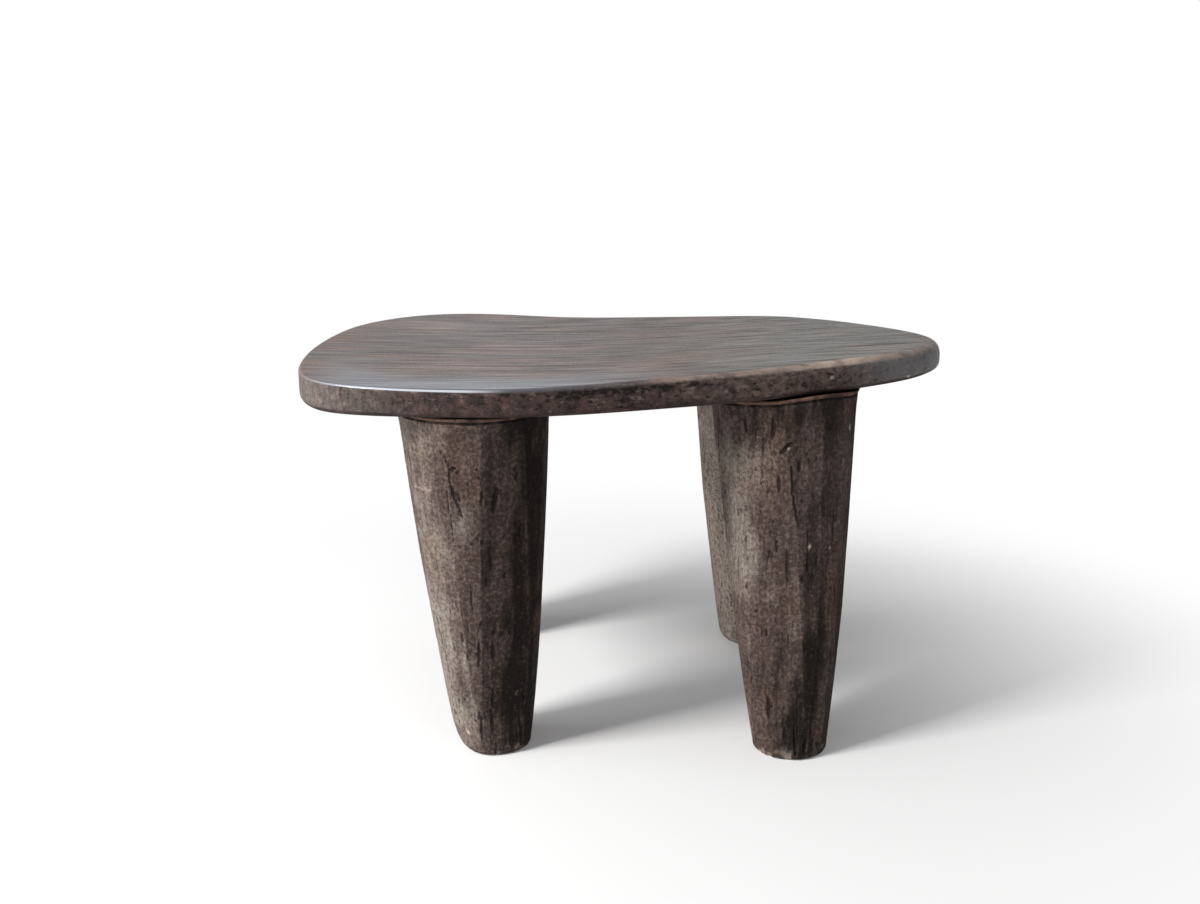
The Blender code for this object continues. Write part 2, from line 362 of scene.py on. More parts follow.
class StoolLegLook(bpy.types.PropertyGroup):
    """Sizes and colours of the legs' finish."""

    strokes: IntProperty(name="Adze strokes", description="Adze strokes on each leg", default=110, min=0)
    stroke_depth: size_property("Stroke depth", "Depth of the deepest adze stroke", 0.0011)
    ripple_depth: size_property("Ripple depth", "Height of the slow ripples", 0.0006)
    ripple_size: size_property("Ripple size", "Width of the slow ripples", 0.030)
    pit_depth: size_property("Pit depth", "Depth of the weathered pits", 0.0004)
    pit_size: size_property("Pit size", "Width of the weathered pits", 0.0032)
    chip_depth: size_property("Chip depth", "Depth of the chips round the foot", 0.0016)
    # Stain, wood and dust are laid by a tone that also holds painted light and shade: towards dust on the
    # side that faces the lamps, towards stain on the far side
    stain: colour_property("Stain", "Colour of the dark stains", (0.012, 0.009, 0.008))
    wood: colour_property("Wood", "Colour of the plain wood", (0.124, 0.086, 0.075))
    dust: colour_property("Dust", "Colour of the dusty wood", (0.36, 0.306, 0.264))
    rust: colour_property("Warm wood", "Colour of the warm streaks", (0.17, 0.098, 0.066))
    bead: colour_property("Worn bead", "Colour of the bead under the seat", (0.19, 0.108, 0.075))


class StoolStageLook(bpy.types.PropertyGroup):
    """Light, floor and camera of the studio."""

    key: power_property("Main light", "Power of the main light", 66.0)
    side: power_property("Side light", "Power of the low side light", 30.0)
    rear: power_property("Rear light", "Power of the soft rear light", 1.2)
    ambient: FloatProperty(name="Ambient", description="Strength of the light from all round", default=0.28)
    floor: colour_property("Floor", "Colour of the floor", (0.95, 0.95, 0.95))
    lens: FloatProperty(
        name="Lens", description="Focal length of the camera", default=39.0, subtype="DISTANCE_CAMERA")
    pitch: FloatProperty(
        name="Camera pitch", description="Tilt of the camera up from straight down",
        default=math.radians(75.0), subtype="ANGLE")


class NodeBench:
    """Places nodes in one tree and joins them up."""

    def __init__(self, tree):
        self.tree = tree

    def node(self, kind, feeds=None, **settings):
        """A new node with its settings, and with values or sockets fed into its inputs by name or number."""
        made = self.tree.nodes.new(kind)
        for key, value in settings.items():
            setattr(made, key, value)
        for key, value in (feeds or {}).items():
            self.feed(self.socket(made.inputs, key), value)
        return made

    @staticmethod
    def socket(sockets, key):
        """A socket by its number, or the live one of that name."""
        if isinstance(key, int):
            return sockets[key]
        return next(each for each in sockets if each.name == key and each.enabled)

    def feed(self, socket, value):
        """Joins a socket to an input, or sets the input's own value."""
        if isinstance(value, bpy.types.NodeSocket):
            self.tree.links.new(value, socket)
        else:
            socket.default_value = value

    def math(self, operation, *values, clamp=False):
        """One step of arithmetic."""
        made = self.node("ShaderNodeMath", dict(enumerate(values)), operation=operation, use_clamp=clamp)
        return made.outputs[0]

    def chain(self, operation, values):
        """One kind of arithmetic over two or more values in turn."""
        return functools.reduce(lambda first, second: self.math(operation, first, second), values)

    def times(self, *values):
        return self.chain("MULTIPLY", values)

    def plus(self, *values):
        return self.chain("ADD", values)

    def most(self, *values):
        return self.chain("MAXIMUM", values)

    def vector(self, operation, *values, scale=None):
        """One step of arithmetic on vectors."""
        made = self.node("ShaderNodeVectorMath", dict(enumerate(values)), operation=operation)
        if scale is not None:
            self.feed(made.inputs["Scale"], scale)
        return made.outputs["Value" if operation in ("DOT_PRODUCT", "LENGTH") else "Vector"]

    def split(self, vector):
        """A vector's three numbers."""
        return self.node("ShaderNodeSeparateXYZ", {0: vector}).outputs

    def stretched(self, place, scale):
        """A place scaled along each axis, so that a pattern on it is drawn out."""
        return self.node("ShaderNodeMapping", {"Vector": place, "Scale": scale}).outputs[0]

    def ramp(self, value, start, end, low=0.0, high=1.0):
        """A value mapped smoothly from a range to another, and held at its ends."""
        feeds = {"Value": value, "From Min": start, "From Max": end, "To Min": low, "To Max": high}
        return self.node("ShaderNodeMapRange", feeds, interpolation_type="SMOOTHSTEP").outputs["Result"]

    def span(self, value, *ends):
        """A mask that is whole between two ramps, each given by its start and its end."""
        return self.times(self.ramp(value, *ends[:2]), self.ramp(value, *ends[2:]))

    def noise(self, vector, scale, detail=3.0, roughness=0.55, colour=False):
        """Soft noise as a value or a colour."""
        feeds = {"Vector": vector, "Scale": scale, "Detail": detail, "Roughness": roughness}
        return self.node("ShaderNodeTexNoise", feeds).outputs["Color" if colour else 0]

    def wander(self, vector, scale):
        """A slow random shift round zero."""
        return self.vector("SUBTRACT", self.noise(vector, scale, 2.0, colour=True), (0.5, 0.5, 0.5))

    def between(self, share, first, second):
        """A value that lies a share of the way from the first to the second."""
        return self.node("ShaderNodeMix", {"Factor": share, "A": first, "B": second}).outputs[0]

    def mix(self, share, first, second):
        """A colour that lies a share of the way from the first to the second."""
        made = self.node("ShaderNodeMix", data_type="RGBA")
        for number, value in ((0, share), (6, first), (7, second)):
            if number and not isinstance(value, bpy.types.NodeSocket):
                value = (*value, 1.0)
            self.feed(made.inputs[number], value)
        return made.outputs[2]

    def coats(self, colour, *layers):
        """A colour with others laid over it in turn, each by its own share."""
        for share, layer in layers:
            colour = self.mix(share, colour, layer)
        return colour


def new_group(name, kind, inputs, outputs):
    """A node group with named inputs and outputs, and a bench to fill it."""
    tree = bpy.data.node_groups.new(name, kind)
    for in_out, sockets in (("INPUT", inputs), ("OUTPUT", outputs)):
        for label, socket in sockets.items():
            tree.interface.new_socket(label, in_out=in_out, socket_type="NodeSocket" + socket)
    bench = NodeBench(tree)
    return tree, bench, bench.node("NodeGroupInput").outputs, bench.node("NodeGroupOutput").inputs


def shared(name, make):
    """The node tree of that name, made when it is first asked for."""
    return bpy.data.node_groups.get(name) or make(name)


class CarvingTree(NodeBench):
    """Geometry nodes that take tool strokes, ripples, pits, cracks and chips off a fine skin."""

    def __init__(self, name):
        sizes = ("Stroke Depth", "Stroke Reach", "Ripple Depth", "Ripple Size", "Pit Depth", "Pit Size",
                 "Hole Share", "Chip Depth")
        inputs = {
            "Geometry": "Geometry", "Marks": "Object", "Material": "Material",
            **dict.fromkeys(("Strokes", "First Point", "Last Point", "Seed"), "Int"),
            **dict.fromkeys(sizes, "Float"),
            **dict.fromkeys(("Ripple Stretch", "Pit Stretch"), "Vector"),
        }
        tree, _, self.given, result = new_group(name, "GeometryNodeTree", inputs, {"Geometry": "Geometry"})
        super().__init__(tree)
        self.place = self.node("GeometryNodeInputPosition").outputs[0]
        self.normal = self.node("GeometryNodeInputNormal").outputs[0]
        self.carve = self.kept("carve")
        geometry = self.strokes()
        pits = self.pits()
        groove_depth, groove_tint = self.grooves()
        chips = self.chips()
        sunk = self.plus(
            self.times(pits, self.given["Pit Depth"]), groove_depth,
            self.times(chips, self.given["Chip Depth"]), self.ripples())
        geometry = self.moved(geometry, self.normal, self.times(sunk, self.carve, -1.0))

        # Masks for the finishes: what lies in hollows, pale flecks and fresh chips, and what stands proud
        for mask, value in (
            ("hollow", self.most(self.times(pits, self.carve), self.times(groove_tint, -1.0))),
            ("fleck", self.most(groove_tint, self.times(chips, 0.6))),
            ("proud", self.times(self.proud(), 4000.0, self.carve)),
        ):
            feeds = {"Geometry": geometry, "Name": mask, "Value": value}
            geometry = self.node("GeometryNodeStoreNamedAttribute", feeds, data_type="FLOAT").outputs[0]
        geometry = self.node("GeometryNodeRealizeInstances", {"Geometry": geometry}).outputs[0]
        feeds = {"Geometry": geometry, "Material": self.given["Material"]}
        self.feed(result["Geometry"], self.node("GeometryNodeSetMaterial", feeds).outputs[0])

    def kept(self, name):
        """A number that the blank or the marks hold at each point."""
        return self.node("GeometryNodeInputNamedAttribute", {"Name": name}, data_type="FLOAT").outputs[0]

    def sampled(self, geometry, value, index, kind="FLOAT"):
        """A value at one point of some geometry."""
        feeds = {"Geometry": geometry, "Value": value, "Index": index}
        return self.node("GeometryNodeSampleIndex", feeds, data_type=kind).outputs["Value"]

    def chance(self, kind, low, high, number, shift):
        """A random value for a number, from the tree's seed and a shift of it."""
        feeds = {"Min": low, "Max": high, "ID": number, "Seed": self.plus(self.given["Seed"], shift)}
        made = self.node("FunctionNodeRandomValue", feeds, data_type=kind)
        return self.socket(made.outputs, "Value")

    def moved(self, geometry, way, distance):
        """Geometry with its points moved a distance each."""
        feeds = {"Geometry": geometry, "Offset": self.vector("SCALE", way, scale=distance)}
        return self.node("GeometryNodeSetPosition", feeds).outputs[0]

    def strokes(self):
        """The skin after strokes, each of which flattens what stands above a plane near one of its points."""
        given = self.given
        start = self.node("GeometryNodeRepeatInput")
        end = self.node("GeometryNodeRepeatOutput")
        start.pair_with_output(end)
        self.feed(start.inputs["Iterations"], given["Strokes"])
        self.feed(start.inputs["Geometry"], given["Geometry"])
        number = start.outputs["Iteration"]
        point = self.chance("INT", given["First Point"], given["Last Point"], number, 0)
        spot = self.sampled(given["Geometry"], self.place, point, "FLOAT_VECTOR")
        facing = self.sampled(given["Geometry"], self.normal, point, "FLOAT_VECTOR")
        sway = self.chance("FLOAT_VECTOR", (-STROKE_SWAY,) * 3, (STROKE_SWAY,) * 3, number, 1)
        facing = self.vector("NORMALIZE", self.vector("ADD", facing, sway))
        depth = self.times(self.chance("FLOAT", 0.2, 1.0, number, 2), given["Stroke Depth"])
        apart = self.vector("SUBTRACT", self.place, spot)
        above = self.plus(self.vector("DOT_PRODUCT", apart, facing), depth)
        inner_reach = self.times(given["Stroke Reach"], 0.8)
        near = self.ramp(self.vector("LENGTH", apart), inner_reach, given["Stroke Reach"], 1.0, 0.0)
        cut = self.times(self.most(above, 0.0), near, self.carve, -1.0)
        self.feed(end.inputs["Geometry"], self.moved(start.outputs["Geometry"], facing, cut))
        return end.outputs["Geometry"]

    def ripples(self):
        """Slow ripples, as a depth round zero."""
        place = self.vector("MULTIPLY", self.place, self.given["Ripple Stretch"])
        ripple = self.noise(place, self.math("DIVIDE", 1.0, self.given["Ripple Size"]), 2.0)
        return self.times(self.math("SUBTRACT", ripple, 0.5), self.given["Ripple Depth"])

    def pits(self):
        """A mask of pits that gather in patches, and of single holes, on raw wood."""
        scale = self.math("DIVIDE", 1.0, self.given["Pit Size"])
        patches = self.ramp(self.noise(self.place, 38.0, 2.0), 0.42, 0.66)
        pits = self.noise(self.vector("MULTIPLY", self.place, self.given["Pit Stretch"]), scale, 3.0)
        pits = self.times(self.ramp(pits, 0.50, 0.74), self.ramp(patches, 0.0, 1.0, 0.35, 1.0))
        feeds = {"Vector": self.place, "Scale": self.times(scale, 0.42)}
        cells = self.node("ShaderNodeTexVoronoi", feeds).outputs
        chosen = self.math("LESS_THAN", self.split(cells["Color"])[0], self.given["Hole Share"])
        holes = self.times(self.ramp(cells["Distance"], 0.10, 0.30, 1.0, 0.0), chosen)
        return self.times(self.most(pits, holes), self.kept("raw"))

    def grooves(self):
        """Depth and tint of cracks, nicks and flecks, over or under the nearest point of the marks."""
        feeds = {"Object": self.given["Marks"]}
        marks = self.node("GeometryNodeObjectInfo", feeds, transform_space="ORIGINAL").outputs["Geometry"]
        wander = self.vector("SCALE", self.wander(self.place, 160.0), scale=MARK_WANDER)
        feeler = self.vector("ADD", self.place, wander)
        feeds = {"Geometry": marks, "Sample Position": feeler}
        nearest = self.node("GeometryNodeSampleNearest", feeds).outputs[0]
        away = self.vector("SUBTRACT", feeler, self.sampled(marks, self.place, nearest, "FLOAT_VECTOR"))
        over = self.vector("SCALE", self.normal, scale=self.vector("DOT_PRODUCT", away, self.normal))
        gap = self.vector("LENGTH", self.vector("SUBTRACT", away, over))
        width = self.sampled(marks, self.kept("mark_width"), nearest)
        groove = self.math("SUBTRACT", 1.0, self.math("DIVIDE", gap, width), clamp=True)
        groove = self.times(groove, self.math("LESS_THAN", self.vector("LENGTH", over), MARK_SINK))
        return [self.times(groove, self.sampled(marks, self.kept(name), nearest))
                for name in ("mark_depth", "mark_tint")]

    def chips(self):
        """A mask of chips round the foot."""
        chips = self.ramp(self.noise(self.place, 105.0, 2.0), 0.53, 0.66)
        return self.times(chips, self.ramp(self.split(self.place)[2], 0.001, 0.013, 1.0, 0.0))

    def proud(self):
        """How far each point stands out from its neighbours."""
        feeds = {"Value": self.place, "Iterations": 10}
        soft = self.node("GeometryNodeBlurAttribute", feeds, data_type="FLOAT_VECTOR").outputs["Value"]
        return self.vector("DOT_PRODUCT", self.vector("SUBTRACT", self.place, soft), self.normal)


def carving_tree(name):
    """The tree of the carving nodes."""
    return CarvingTree(name).tree


def carve(piece, look, marks, values):
    """Runs the carving nodes on a blank piece and keeps the result as its plain mesh."""
    cloud = marks_object(piece.name + "_marks", marks)
    values["Marks"] = cloud
    for label in ("Strokes", "Stroke Depth", "Ripple Depth", "Ripple Size", "Pit Depth", "Pit Size"):
        values[label] = getattr(look, label.lower().replace(" ", "_"))
    modifier = piece.modifiers.new("carving", "NODES")
    modifier.node_group = shared("Adze and weather", carving_tree)
    for item in modifier.node_group.interface.items_tree:
        if item.in_out == "INPUT" and item.name in values:
            modifier[item.identifier] = values[item.name]
    graph = bpy.context.evaluated_depsgraph_get()
    carved = piece.evaluated_get(graph)
    mesh = bpy.data.meshes.new_from_object(carved, preserve_all_data_layers=True, depsgraph=graph)
    piece.modifiers.remove(modifier)
    blank = piece.data
    piece.data = mesh
    mesh.name = piece.name
    spots = mesh_points(mesh)
    spots[:, 2] = np.maximum(spots[:, 2], 0.0)
    mesh.vertices.foreach_set("co", spots.ravel())
    mesh.shade_smooth()
    mesh.update()
    cloud_mesh = cloud.data
    bpy.data.objects.remove(cloud)
    for spent in (blank, cloud_mesh):
        bpy.data.meshes.remove(spent)


def mesh_points(mesh, label="co"):
    """A mesh's points, or their normals, as rows of three numbers."""
    rows = np.empty(len(mesh.vertices) * 3)
    mesh.vertices.foreach_get(label, rows)
    return rows.reshape(-1, 3)


def solid_of(node):
    """The node's solid, ready for rays."""
    mesh = frame["nodes"][node].data
    return BVHTree.FromPolygons([v.co for v in mesh.vertices], [p.vertices for p in mesh.polygons])


def ease(share):
    """A smooth step from 0 to 1, level at both ends."""
    held = np.clip(share, 0.0, 1.0)
    return held * held * (3.0 - 2.0 * held)


def rise(value, start, length):
    """A smooth step from 0 to 1 that begins at a start and takes a length."""
    return ease((value - start) / length)


def smooth_round(values, waves):
    """Values round a closed turn, along the first axis, with only the slowest waves kept."""
    spectrum = np.fft.rfft(values, axis=0)
    spectrum[waves:] = 0.0
    return np.fft.irfft(spectrum, len(values), axis=0)


def circle(count):
    """Even turns round a circle, and the level directions that they point in."""
    turns = np.arange(count) * 2.0 * np.pi / count
    return turns, np.column_stack([np.cos(turns), np.sin(turns)])


def distances(line):
    """How far along a line of points each of them lies."""
    return np.concatenate([[0.0], np.cumsum(np.linalg.norm(np.diff(line, axis=0), axis=1))])


def points_at(line, total, places):
    """Points at places along a line, whose own points lie at the totals given."""
    return np.column_stack([np.interp(places, total, column) for column in line.T])


def ring_reach(ring, spots):
    """How far a ring of points round the origin reaches in the direction of each spot."""
    turns = np.arctan2(ring[:, 1], ring[:, 0])
    order = np.argsort(turns)
    reaches = np.linalg.norm(ring, axis=1)[order]
    return np.interp(np.arctan2(spots[:, 1], spots[:, 0]), turns[order], reaches, period=2.0 * np.pi)


def ring_faces(ring_count, column_count):
    """Four-sided faces that join each closed ring of points to the next."""
    rows = np.arange(ring_count - 1)[:, None] * column_count
    here = np.arange(column_count)[None, :]
    beside = (here + 1) % column_count
    corners = [rows + here, rows + beside, rows + column_count + beside, rows + column_count + here]
    return np.stack(corners, -1).reshape(-1, 4).tolist()


def fan_faces(first, count, pole):
    """Triangles that close a ring of points to one point."""
    return [[first + k, first + (k + 1) % count, pole] for k in range(count)]


def linked(name, data):
    """A new object in the scene, for a mesh, a light or a camera."""
    made = bpy.data.objects.new(name, data)
    bpy.context.scene.collection.objects.link(made)
    return made


def blank_piece(name, spots, faces):
    """A closed blank with its faces turned outwards."""
    mesh = bpy.data.meshes.new(name)
    mesh.from_pydata(spots.tolist(), [], faces)
    body = bmesh.new()
    body.from_mesh(mesh)
    bmesh.ops.recalc_face_normals(body, faces=body.faces)
    body.to_mesh(mesh)
    body.free()
    mesh.shade_smooth()
    return linked(name, mesh)


def keep(mesh, name, values):
    """Keeps one number for each point of a mesh under a name."""
    layer = mesh.attributes.new(name, "FLOAT", "POINT")
    layer.data.foreach_set("value", np.asarray(values, dtype=np.float32))


def marks_object(name, marks):
    """A loose cloud of mark points, each with its half width, depth and tint, sizes in metres."""
    mesh = bpy.data.meshes.new(name)
    mesh.from_pydata(np.array([mark[0] for mark in marks]).tolist(), [], [])
    for number, label in enumerate(("mark_width", "mark_depth", "mark_tint")):
        keep(mesh, label, [mark[1][number] for mark in marks])
    return linked(name, mesh)


def along(corners, step):
    """Points a step apart along a line of corners, each with its share of the way."""
    corners = np.array(corners, dtype=float)
    total = distances(corners)
    shares = np.linspace(0.0, 1.0, max(2, int(total[-1] / step) + 1))
    return list(zip(points_at(corners, total, shares * total[-1]), shares))


def mark_size(kind, ends, share, thin=1.0):
    """Half width, depth and tint of a mark, in metres, thinner at its ends by a share of the way along."""
    width, depth, tint = MARK_KINDS[kind]
    taper = (ends + (1.0 - ends) * math.sin(math.pi * share)) * thin / 1000.0
    return width * taper, depth * taper, tint


class LegBlank:
    """A leg's skin as a grid of rings and columns laid over its solid."""

    def __init__(self, node):
        self.node = node
        self.solid = solid_of(node)
        spots = mesh_points(frame["nodes"][node].data)
        self.tenon_end = spots[:, 2].max()
        end = spots[spots[:, 2] > self.tenon_end - TINY]
        self.tenon_middle = (end.min(0)[:2] + end.max(0)[:2]) / 2.0
        self.tenon_radius = (end.max(0)[0] - end.min(0)[0]) / 2.0 + TENON_CHAMFER
        self.foot = np.array(FEET[node][:2])
        self.turns, self.ways = circle(LEG_COLUMNS)
        self.height = self.tenon_end - TENON_HEIGHT
        self.rims = self.rim_heights()
        self.fit = self.radius_fit()
        self.ledge = self.ledge_heights()
        self.spots, self.carve = self.skin()

    def middle(self, height):
        """The middle of the leg at a height, seen from above."""
        share = np.clip(np.asarray(height) / self.height, 0.0, 1.0)[..., None]
        return self.foot + (self.tenon_middle - self.foot) * share

    def reach(self, height, way):
        """How far the solid reaches from the leg's middle at a height, in one direction."""
        middle = self.middle(height)
        _, _, _, distance = self.solid.ray_cast(Vector((*middle, height)), Vector((*way, 0.0)))
        return distance or 0.0

    def away(self, degrees):
        """How far each column lies from an angle, in degrees."""
        return np.abs((np.degrees(self.turns) - degrees + 180.0) % 360.0 - 180.0)

    def rim_heights(self):
        """Height of the shoulder's rim in each column, which follows the seat's underside."""
        rims = []
        for way in self.ways:
            low, high = self.height - RIM_SEARCH, self.tenon_end - TENON_CLEAR
            for _ in range(RIM_HALVINGS):
                level = (low + high) / 2.0
                if self.reach(level, way) > self.tenon_radius + SHOULDER_WIDTH:
                    low = level
                else:
                    high = level
            rims.append(low)
        return smooth_round(np.array(rims), RIM_WAVES)

    def radius_fit(self):
        """Coefficients of each column's radius as a cubic of the height, with the facets smoothed away."""
        levels = np.linspace(SHAFT_CLEAR[0], self.rims.min() - SHAFT_CLEAR[1], SHAFT_LEVELS)
        radii = np.array([[self.reach(level, way) for way in self.ways] for level in levels])
        radii = smooth_round(radii.T, SHAFT_WAVES).T + LEG_SWELL
        return np.polyfit(levels, radii, 3)

    def radius(self, heights):
        """Radius of every column at its own height."""
        return sum(row * heights ** power for row, power in zip(self.fit, (3, 2, 1, 0)))

    def ring(self, heights, trim=0.0):
        """A ring of points at each column's height, trimmed in by a distance."""
        flat = self.middle(heights) + self.ways * (self.radius(heights) - trim)[:, None]
        return np.column_stack([flat, heights])

    def ledge_heights(self):
        """Height of the ledge in each column, which climbs where the seat's lower edge curls up."""
        seat = solid_of("seat")
        room = []
        for x, y, rim in self.ring(self.rims, LEDGE_TRIM):
            place = seat.ray_cast(Vector((x, y, rim - LEDGE_LIFT)), Vector((0.0, 0.0, 1.0)))[0]
            room.append(place.z - rim if place else 2.0 * LEDGE_LIFT)
        lift = np.clip(np.array(room) - LEDGE_ROOM, 0.0, LEDGE_LIFT)
        lift = np.min([np.roll(lift, step) for step in range(-LEDGE_CLEAR, LEDGE_CLEAR + 1)], axis=0)
        lift = np.maximum(smooth_round(lift, RIM_WAVES), 0.0)
        degrees, spread, depth = LEDGE_DROP.get(self.node, (0, 1, 0.0))
        return self.rims + lift - depth * np.exp(-(self.away(degrees) / spread) ** 2)

    def foot_round(self):
        """How far the foot's rounded edge goes in and up, in each column."""
        degrees, spread, inward, upward = FOOT_WEAR.get(self.node, (0, 1, 0.0, 0.0))
        worn = np.exp(-(self.away(degrees) / spread) ** 2)
        return FOOT_ROUND + inward * worn, FOOT_ROUND + upward * worn

    def skin(self):
        """Rings from the sole up over the shoulder to the tenon's end, and how far each is carved."""
        level = np.ones(LEG_COLUMNS)
        rings, carve = [], []

        def lay(ring, amount=0.0):
            rings.append(ring)
            carve.append(level * amount)

        inward, upward = self.foot_round()
        sole = self.ring(level * 0.0, inward)
        centre = np.append(self.foot, 0.0)
        for share in SOLE_SHARES:
            lay(centre + (sole - centre) * share)
        for turn in np.linspace(0.0, np.pi / 2.0, FOOT_STEPS)[:-1]:
            lay(self.ring(upward * (1.0 - np.cos(turn)), inward * (1.0 - np.sin(turn))), np.sin(turn))
        self.base_ring = len(rings)
        self.first = (self.base_ring + STROKE_MARGIN) * LEG_COLUMNS
        self.shaft = []
        for share in np.linspace(0.0, 1.0, LEG_SHAFT_RINGS):
            heights = upward + (self.ledge - RIM_DEPTH - upward) * share
            lay(self.ring(heights), rise(self.ledge - heights, RIM_DEPTH, RIM_KEPT))
            self.shaft.append(heights[0])
        self.last = (len(rings) - STROKE_MARGIN) * LEG_COLUMNS - 1
        self.groove_rings = slice(len(rings), len(rings) + len(GROOVE))
        self.bead_rings = slice(self.groove_rings.stop, self.groove_rings.stop + len(BEAD))
        for down, out in GROOVE + BEAD:
            lay(self.ring(self.ledge - down, -out))
        for height, trim in ((self.ledge, LEDGE_TRIM), (self.rims, RIM_TRIM)):
            lay(self.ring(height, trim))
        rim = rings[-1]
        neck = np.column_stack([self.tenon_middle + self.ways * self.tenon_radius, self.rims])
        for share in (0.5, 1.0):
            lay(rim + (neck - rim) * share)
        for trim, drop in ((0.0, TENON_CHAMFER), (TENON_CHAMFER, 0.0)):
            flat = self.tenon_middle + self.ways * (self.tenon_radius - trim)
            lay(np.column_stack([flat, level * (self.tenon_end - drop)]))
        return self.faceted(np.array(rings), np.array(carve)), np.array(carve)

    def faceted(self, rings, carve):
        """The rings with the strips of adze strokes cut into them that shape the leg's facets."""
        spots, amount = rings.reshape(-1, 3), carve.ravel()
        normals = np.cross(np.roll(rings, -1, 1) - np.roll(rings, 1, 1), np.gradient(rings, axis=0))
        normals /= np.linalg.norm(normals, axis=2)[:, :, None] + 1e-12
        whole = rings.copy()
        draw = np.random.default_rng(FACET_SEED)
        for top, foot, half in LEG_FACETS.get(self.node, ()):
            for height in np.linspace(*FACET_SPAN, FACET_STROKES):
                degrees = foot + (top - foot) * height / self.height + draw.uniform(-FACET_SWAY, FACET_SWAY)
                ring, column = self.cell(degrees, height * 1000.0)
                spot, facing = whole[ring, column], normals[ring, column]
                across = np.linalg.norm(spot[:2] - self.middle(height))
                depth = across * (1.0 - math.cos(math.radians(half))) * draw.uniform(*FACET_DEPTH)
                reach = FACET_REACH * draw.uniform(*FACET_REACH_SHARE)
                near = 1.0 - ease(np.abs(spots[:, 2] - height) / reach)
                above = np.maximum((spots - spot) @ facing + depth, 0.0) * amount * near
                spots -= above[:, None] * facing
        return spots.reshape(rings.shape)

    def stains_and_painted_light(self):
        """How stained each point is, below zero where it is bleached; some of it is painted light and painted
        shade, as in the table and in the joint above the bead.
        """
        total = np.zeros(self.carve.shape)
        heights = self.spots[:, :, 2] * 1000.0
        for degrees, height, turn_spread, height_spread, strength in LEG_STAINS_AND_PAINTED_LIGHT.get(self.node, ()):
            turn_share = self.away(degrees)[None, :] / turn_spread
            height_share = (heights - height) / height_spread
            total += strength * np.exp(-(turn_share ** 2 + height_share ** 2))
        total[self.groove_rings] = GROOVE_STAIN
        total[self.bead_rings] = BEAD_STAIN
        # Painted shade: the leg's top above the bead, in the joint under the seat, is drawn near black
        total[self.bead_rings.stop:] = 1.0
        return total

    def cell(self, degrees, millimetres):
        """Ring and column of the skin's point nearest to an angle round the leg and a height up it."""
        ring = self.base_ring + int(np.argmin(np.abs(np.array(self.shaft) - millimetres / 1000.0)))
        return ring, int(round(degrees / 360.0 * LEG_COLUMNS)) % LEG_COLUMNS

    def piece(self):
        """The blank leg as an object."""
        count = len(self.spots) * LEG_COLUMNS
        poles = np.array([[*self.foot, 0.0], [*self.tenon_middle, self.tenon_end]])
        faces = ring_faces(len(self.spots), LEG_COLUMNS)
        faces += fan_faces(0, LEG_COLUMNS, count)
        faces += fan_faces(count - LEG_COLUMNS, LEG_COLUMNS, count + 1)
        piece = blank_piece(self.node + "_carved", np.concatenate([self.spots.reshape(-1, 3), poles]), faces)
        bead = np.zeros(self.carve.shape)
        bead[self.bead_rings] = BEAD_WEAR.get(self.node, BEAD_PLAIN_WEAR)
        for name, values in (("carve", self.carve), ("bead", bead), ("stain", self.stains_and_painted_light())):
            keep(piece.data, name, np.append(values.ravel(), (0.0, 0.0)))
        keep(piece.data, "raw", np.ones(count + 2))
        return piece

    def marks(self, seed):
        """Mark points of this leg: those that are placed, and fine drying checks at random."""
        marks = []

        def add(kind, corners, ends, thin=1.0):
            for place, share in along(corners, LEG_MARK_STEP):
                marks.append((self.spots[self.cell(*place)], mark_size(kind, ends, share, thin)))

        for kind, *corners in LEG_MARKS.get(self.node, ()):
            add(kind, corners, LEG_MARK_ENDS)
        draw = np.random.default_rng(seed)
        for _ in range(CHECKS_PER_LEG):
            degrees, bottom = draw.uniform(0.0, 360.0), draw.uniform(*CHECK_BOTTOM)
            length, lean = draw.uniform(*CHECK_LENGTH), draw.uniform(*CHECK_LEAN)
            corners = ((degrees, bottom), (degrees + lean, min(bottom + length, CHECK_TOP)))
            add("crack", corners, CHECK_ENDS, draw.uniform(*CHECK_THIN))
        return marks


